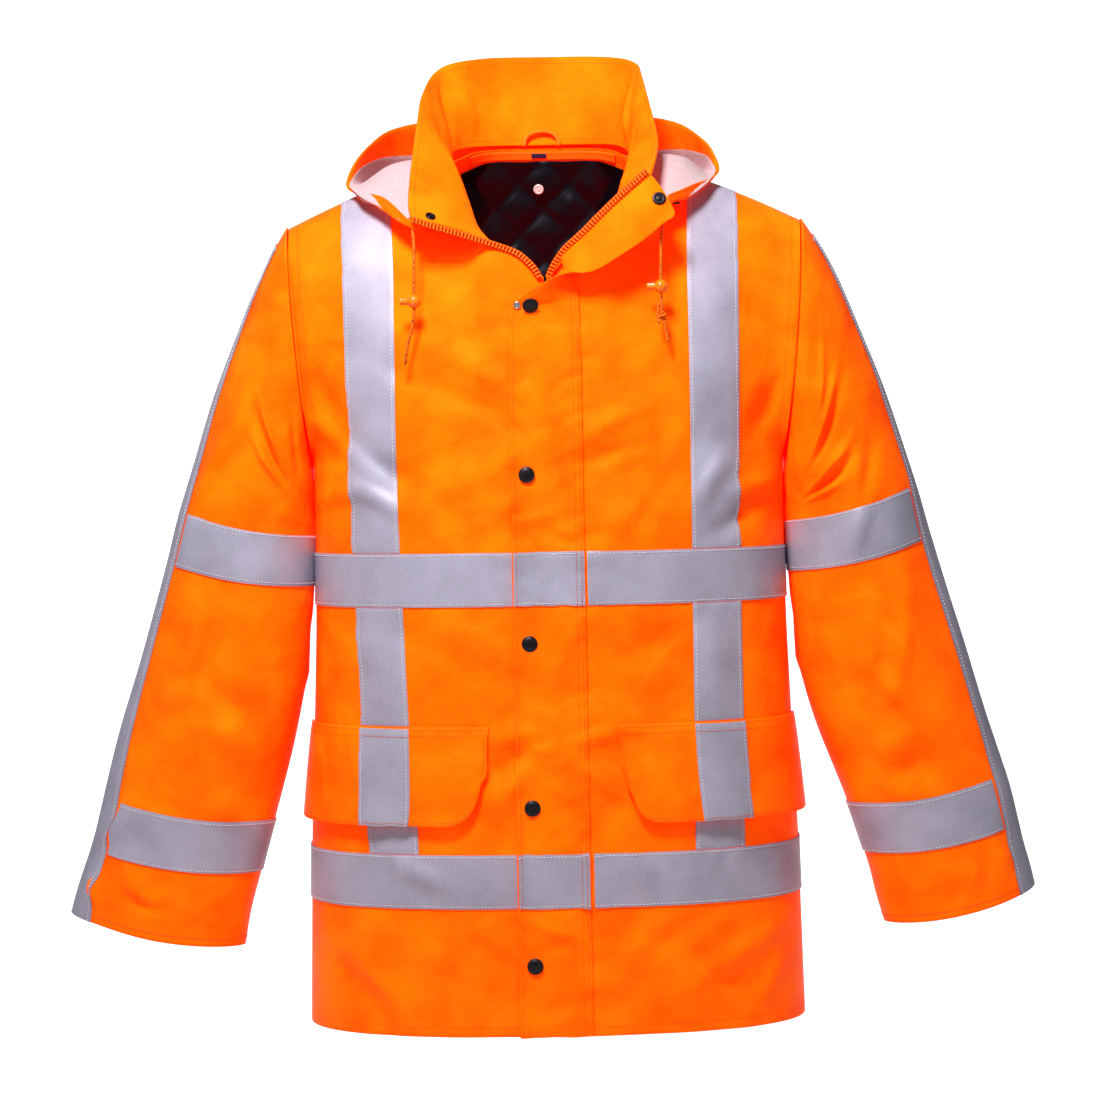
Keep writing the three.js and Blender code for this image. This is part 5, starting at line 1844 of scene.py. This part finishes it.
class JACKET_OT_stitching(bpy.types.Operator):
    """Sews every tape, hem, seam and edge with visible stitches"""

    bl_idname = "jacket.stitching"
    bl_label = "Stitching"

    def execute(self, context):
        pale, orange = Thread(), Thread()
        for name, surface, edges_at, heights, *_ in tape_layout():
            self.tape_edges(pale, name, surface, edges_at, heights)
        self.body(orange)
        self.sleeves(orange)
        self.collar_and_hood(orange)
        self.flaps(orange)
        pale.finish("pale_stitches", "pale thread", "reflective_tape")
        orange.finish("orange_stitches", "orange thread", "orange_cloth")
        return {"FINISHED"}

    def tape_edges(self, thread, name, surface, edges_at, heights):
        """Two lines along a tape, just inside its long edges."""
        inset = 2.2
        band = name.startswith(("chest", "hem")) or "ring" in name
        if band:
            low, high = heights[0], heights[-1]
            share = inset / TAPE_WIDTH
            start, end = edges_at(low)
            across = spread(start, end, 160)
            for t in (share, 1 - share):
                v = lerp(low, high, t)
                thread.run(surface, [(u, v) for u in across], ON_TAPE)
        else:
            for k in (0, 1):
                way = inset if k == 0 else -inset
                if edges_at(heights[0])[0] > edges_at(heights[0])[1]:
                    way = -way
                places = [(surface.step(edges_at(v)[k], v, way), v) for v in heights]
                thread.run(surface, places, ON_TAPE)

    def body(self, thread):
        hem_z, end = HEM_Z + 9, 0.998
        seam = spread(-4, -246, 60)
        for surface in FRONTS.values():
            hem = [(u, hem_z) for u in spread(0.08, end, 120)]
            thread.run(surface, hem, ON_CLOTH)
            for inset in (7.5, 9.5):
                thread.run(surface, [(surface.step(end, v, -inset), v) for v in seam], ON_CLOTH)
        thread.run(BACK, [(u, hem_z) for u in spread(-end, end, 240)], ON_CLOTH)
        for sign in (-1, 1):
            for inset in (7.5, 9.5):
                places = [(sign * BACK.step(end, v, -inset), v) for v in seam]
                thread.run(BACK, places, ON_CLOTH)

    def sleeves(self, thread):
        for surface in SLEEVES.values():
            for place in (13.78, 13.74):
                thread.run(surface, [(u, place) for u in spread(0.1, 1.0, 200)], ON_CLOTH)
                thread.run(surface, [(u, place) for u in spread(0.0, 0.1, 30)], TAPE_RISE + ON_CLOTH)

    def collar_and_hood(self, thread):
        for v in (0.93, 0.06):
            thread.run(COLLAR, [(u, v) for u in spread(0.12, 13.88, 300)], ON_CLOTH)
        for v in (0.06, 0.955):
            thread.run(HOOD, [(u, v) for u in spread(0.3, 13.7, 300)], ON_CLOTH)

    def flaps(self, thread):
        rows = len(FLAP_HEIGHTS)
        top = rows + len(FLAP_TOP_ROWS) - 1.2
        for u in (0.045, 0.115, 0.955):
            thread.run(FLAP, [(u, j) for j in spread(0.02, top, 260)], ON_CLOTH)
            for band in (CHEST_BAND, HEM_BAND):
                places = [(u, j) for j in spread(flap_row(band[0]), flap_row(band[1]), 12)]
                thread.run(FLAP, places, TAPE_RISE + 0.4)
        for name, surface, edges_at, *_ in tape_layout():
            if name.startswith("brace_tape_pocket"):
                for t in (0.1, 0.975):
                    thread.run(surface, [(u, t) for u in spread(*edges_at(t), 12)], ON_TAPE)
        for surface in POCKETS.values():
            start, end = surface.u_range
            along_edge = spread(start + 0.02, end - 0.01, 120)
            for t in (0.96, 0.03, 0.1, 0.985):
                thread.run(surface, [(u, t) for u in along_edge], ON_CLOTH)
            thread.run(surface, [(start + 0.012, t) for t in spread(0.03, 0.9, 30)], ON_CLOTH)


class JACKET_OT_declare(bpy.types.Operator):
    """Looks up the cut size of every cloth piece, and does nothing more"""

    bl_idname = "jacket.declare"
    bl_label = "Declare the cloth"

    def execute(self, context):
        objects = context.scene.objects

        for side in ("right", "left"):
            declare(objects[f"front_panel_{side}"])
            declare(objects[f"sleeve_panel_{side}"])
            declare(objects[f"pocket_piece_{side}"])
        declare(objects["back_panel"])
        declare(objects["storm_flap_piece"])
        declare(objects["collar_piece"])
        declare(objects["hood_shell"])
        declare(objects["hood_mesh"])
        declare(objects["quilt"])
        declare(objects["neck_piece"])
        return {"FINISHED"}


class JACKET_PT_panel(bpy.types.Panel):
    """The jacket's sizes and the buttons that make its pieces"""

    bl_label = "Hi-vis work jacket"
    bl_idname = "JACKET_PT_panel"
    bl_space_type = "VIEW_3D"
    bl_region_type = "UI"
    bl_category = "Jacket"

    def draw(self, context):
        layout = self.layout
        for group in (context.scene.jacket_sizes, context.scene.jacket_stage):
            box = layout.box()
            for name in group.bl_rna.properties.keys():
                if name not in ("rna_type", "name"):
                    box.prop(group, name)
        for operator in OPERATORS:
            layout.operator(operator.bl_idname)


OPERATORS = (
    JACKET_OT_stage,
    JACKET_OT_cords,
    JACKET_OT_body,
    JACKET_OT_sleeves,
    JACKET_OT_collar,
    JACKET_OT_hood,
    JACKET_OT_storm_flap,
    JACKET_OT_pockets,
    JACKET_OT_tapes,
    JACKET_OT_lining,
    JACKET_OT_zip,
    JACKET_OT_snaps,
    JACKET_OT_stitching,
    JACKET_OT_declare,
)
CLASSES = (JacketSizes, JacketStage, *OPERATORS, JACKET_PT_panel)


def register():
    for cls in CLASSES:
        bpy.utils.register_class(cls)
    bpy.types.Scene.jacket_sizes = bpy.props.PointerProperty(type=JacketSizes)
    bpy.types.Scene.jacket_stage = bpy.props.PointerProperty(type=JacketStage)


def unregister():
    del bpy.types.Scene.jacket_stage
    del bpy.types.Scene.jacket_sizes
    for cls in reversed(CLASSES):
        bpy.utils.unregister_class(cls)


def main():
    register()
    bpy.ops.jacket.stage()
    bpy.ops.jacket.cords()
    bpy.ops.jacket.body()
    bpy.ops.jacket.sleeves()
    bpy.ops.jacket.collar()
    bpy.ops.jacket.hood()
    bpy.ops.jacket.storm_flap()
    bpy.ops.jacket.pockets()
    bpy.ops.jacket.tapes()
    bpy.ops.jacket.lining()
    bpy.ops.jacket.zip()
    bpy.ops.jacket.snaps()
    bpy.ops.jacket.stitching()
    bpy.ops.jacket.declare()


if __name__ == "__main__":
    main()
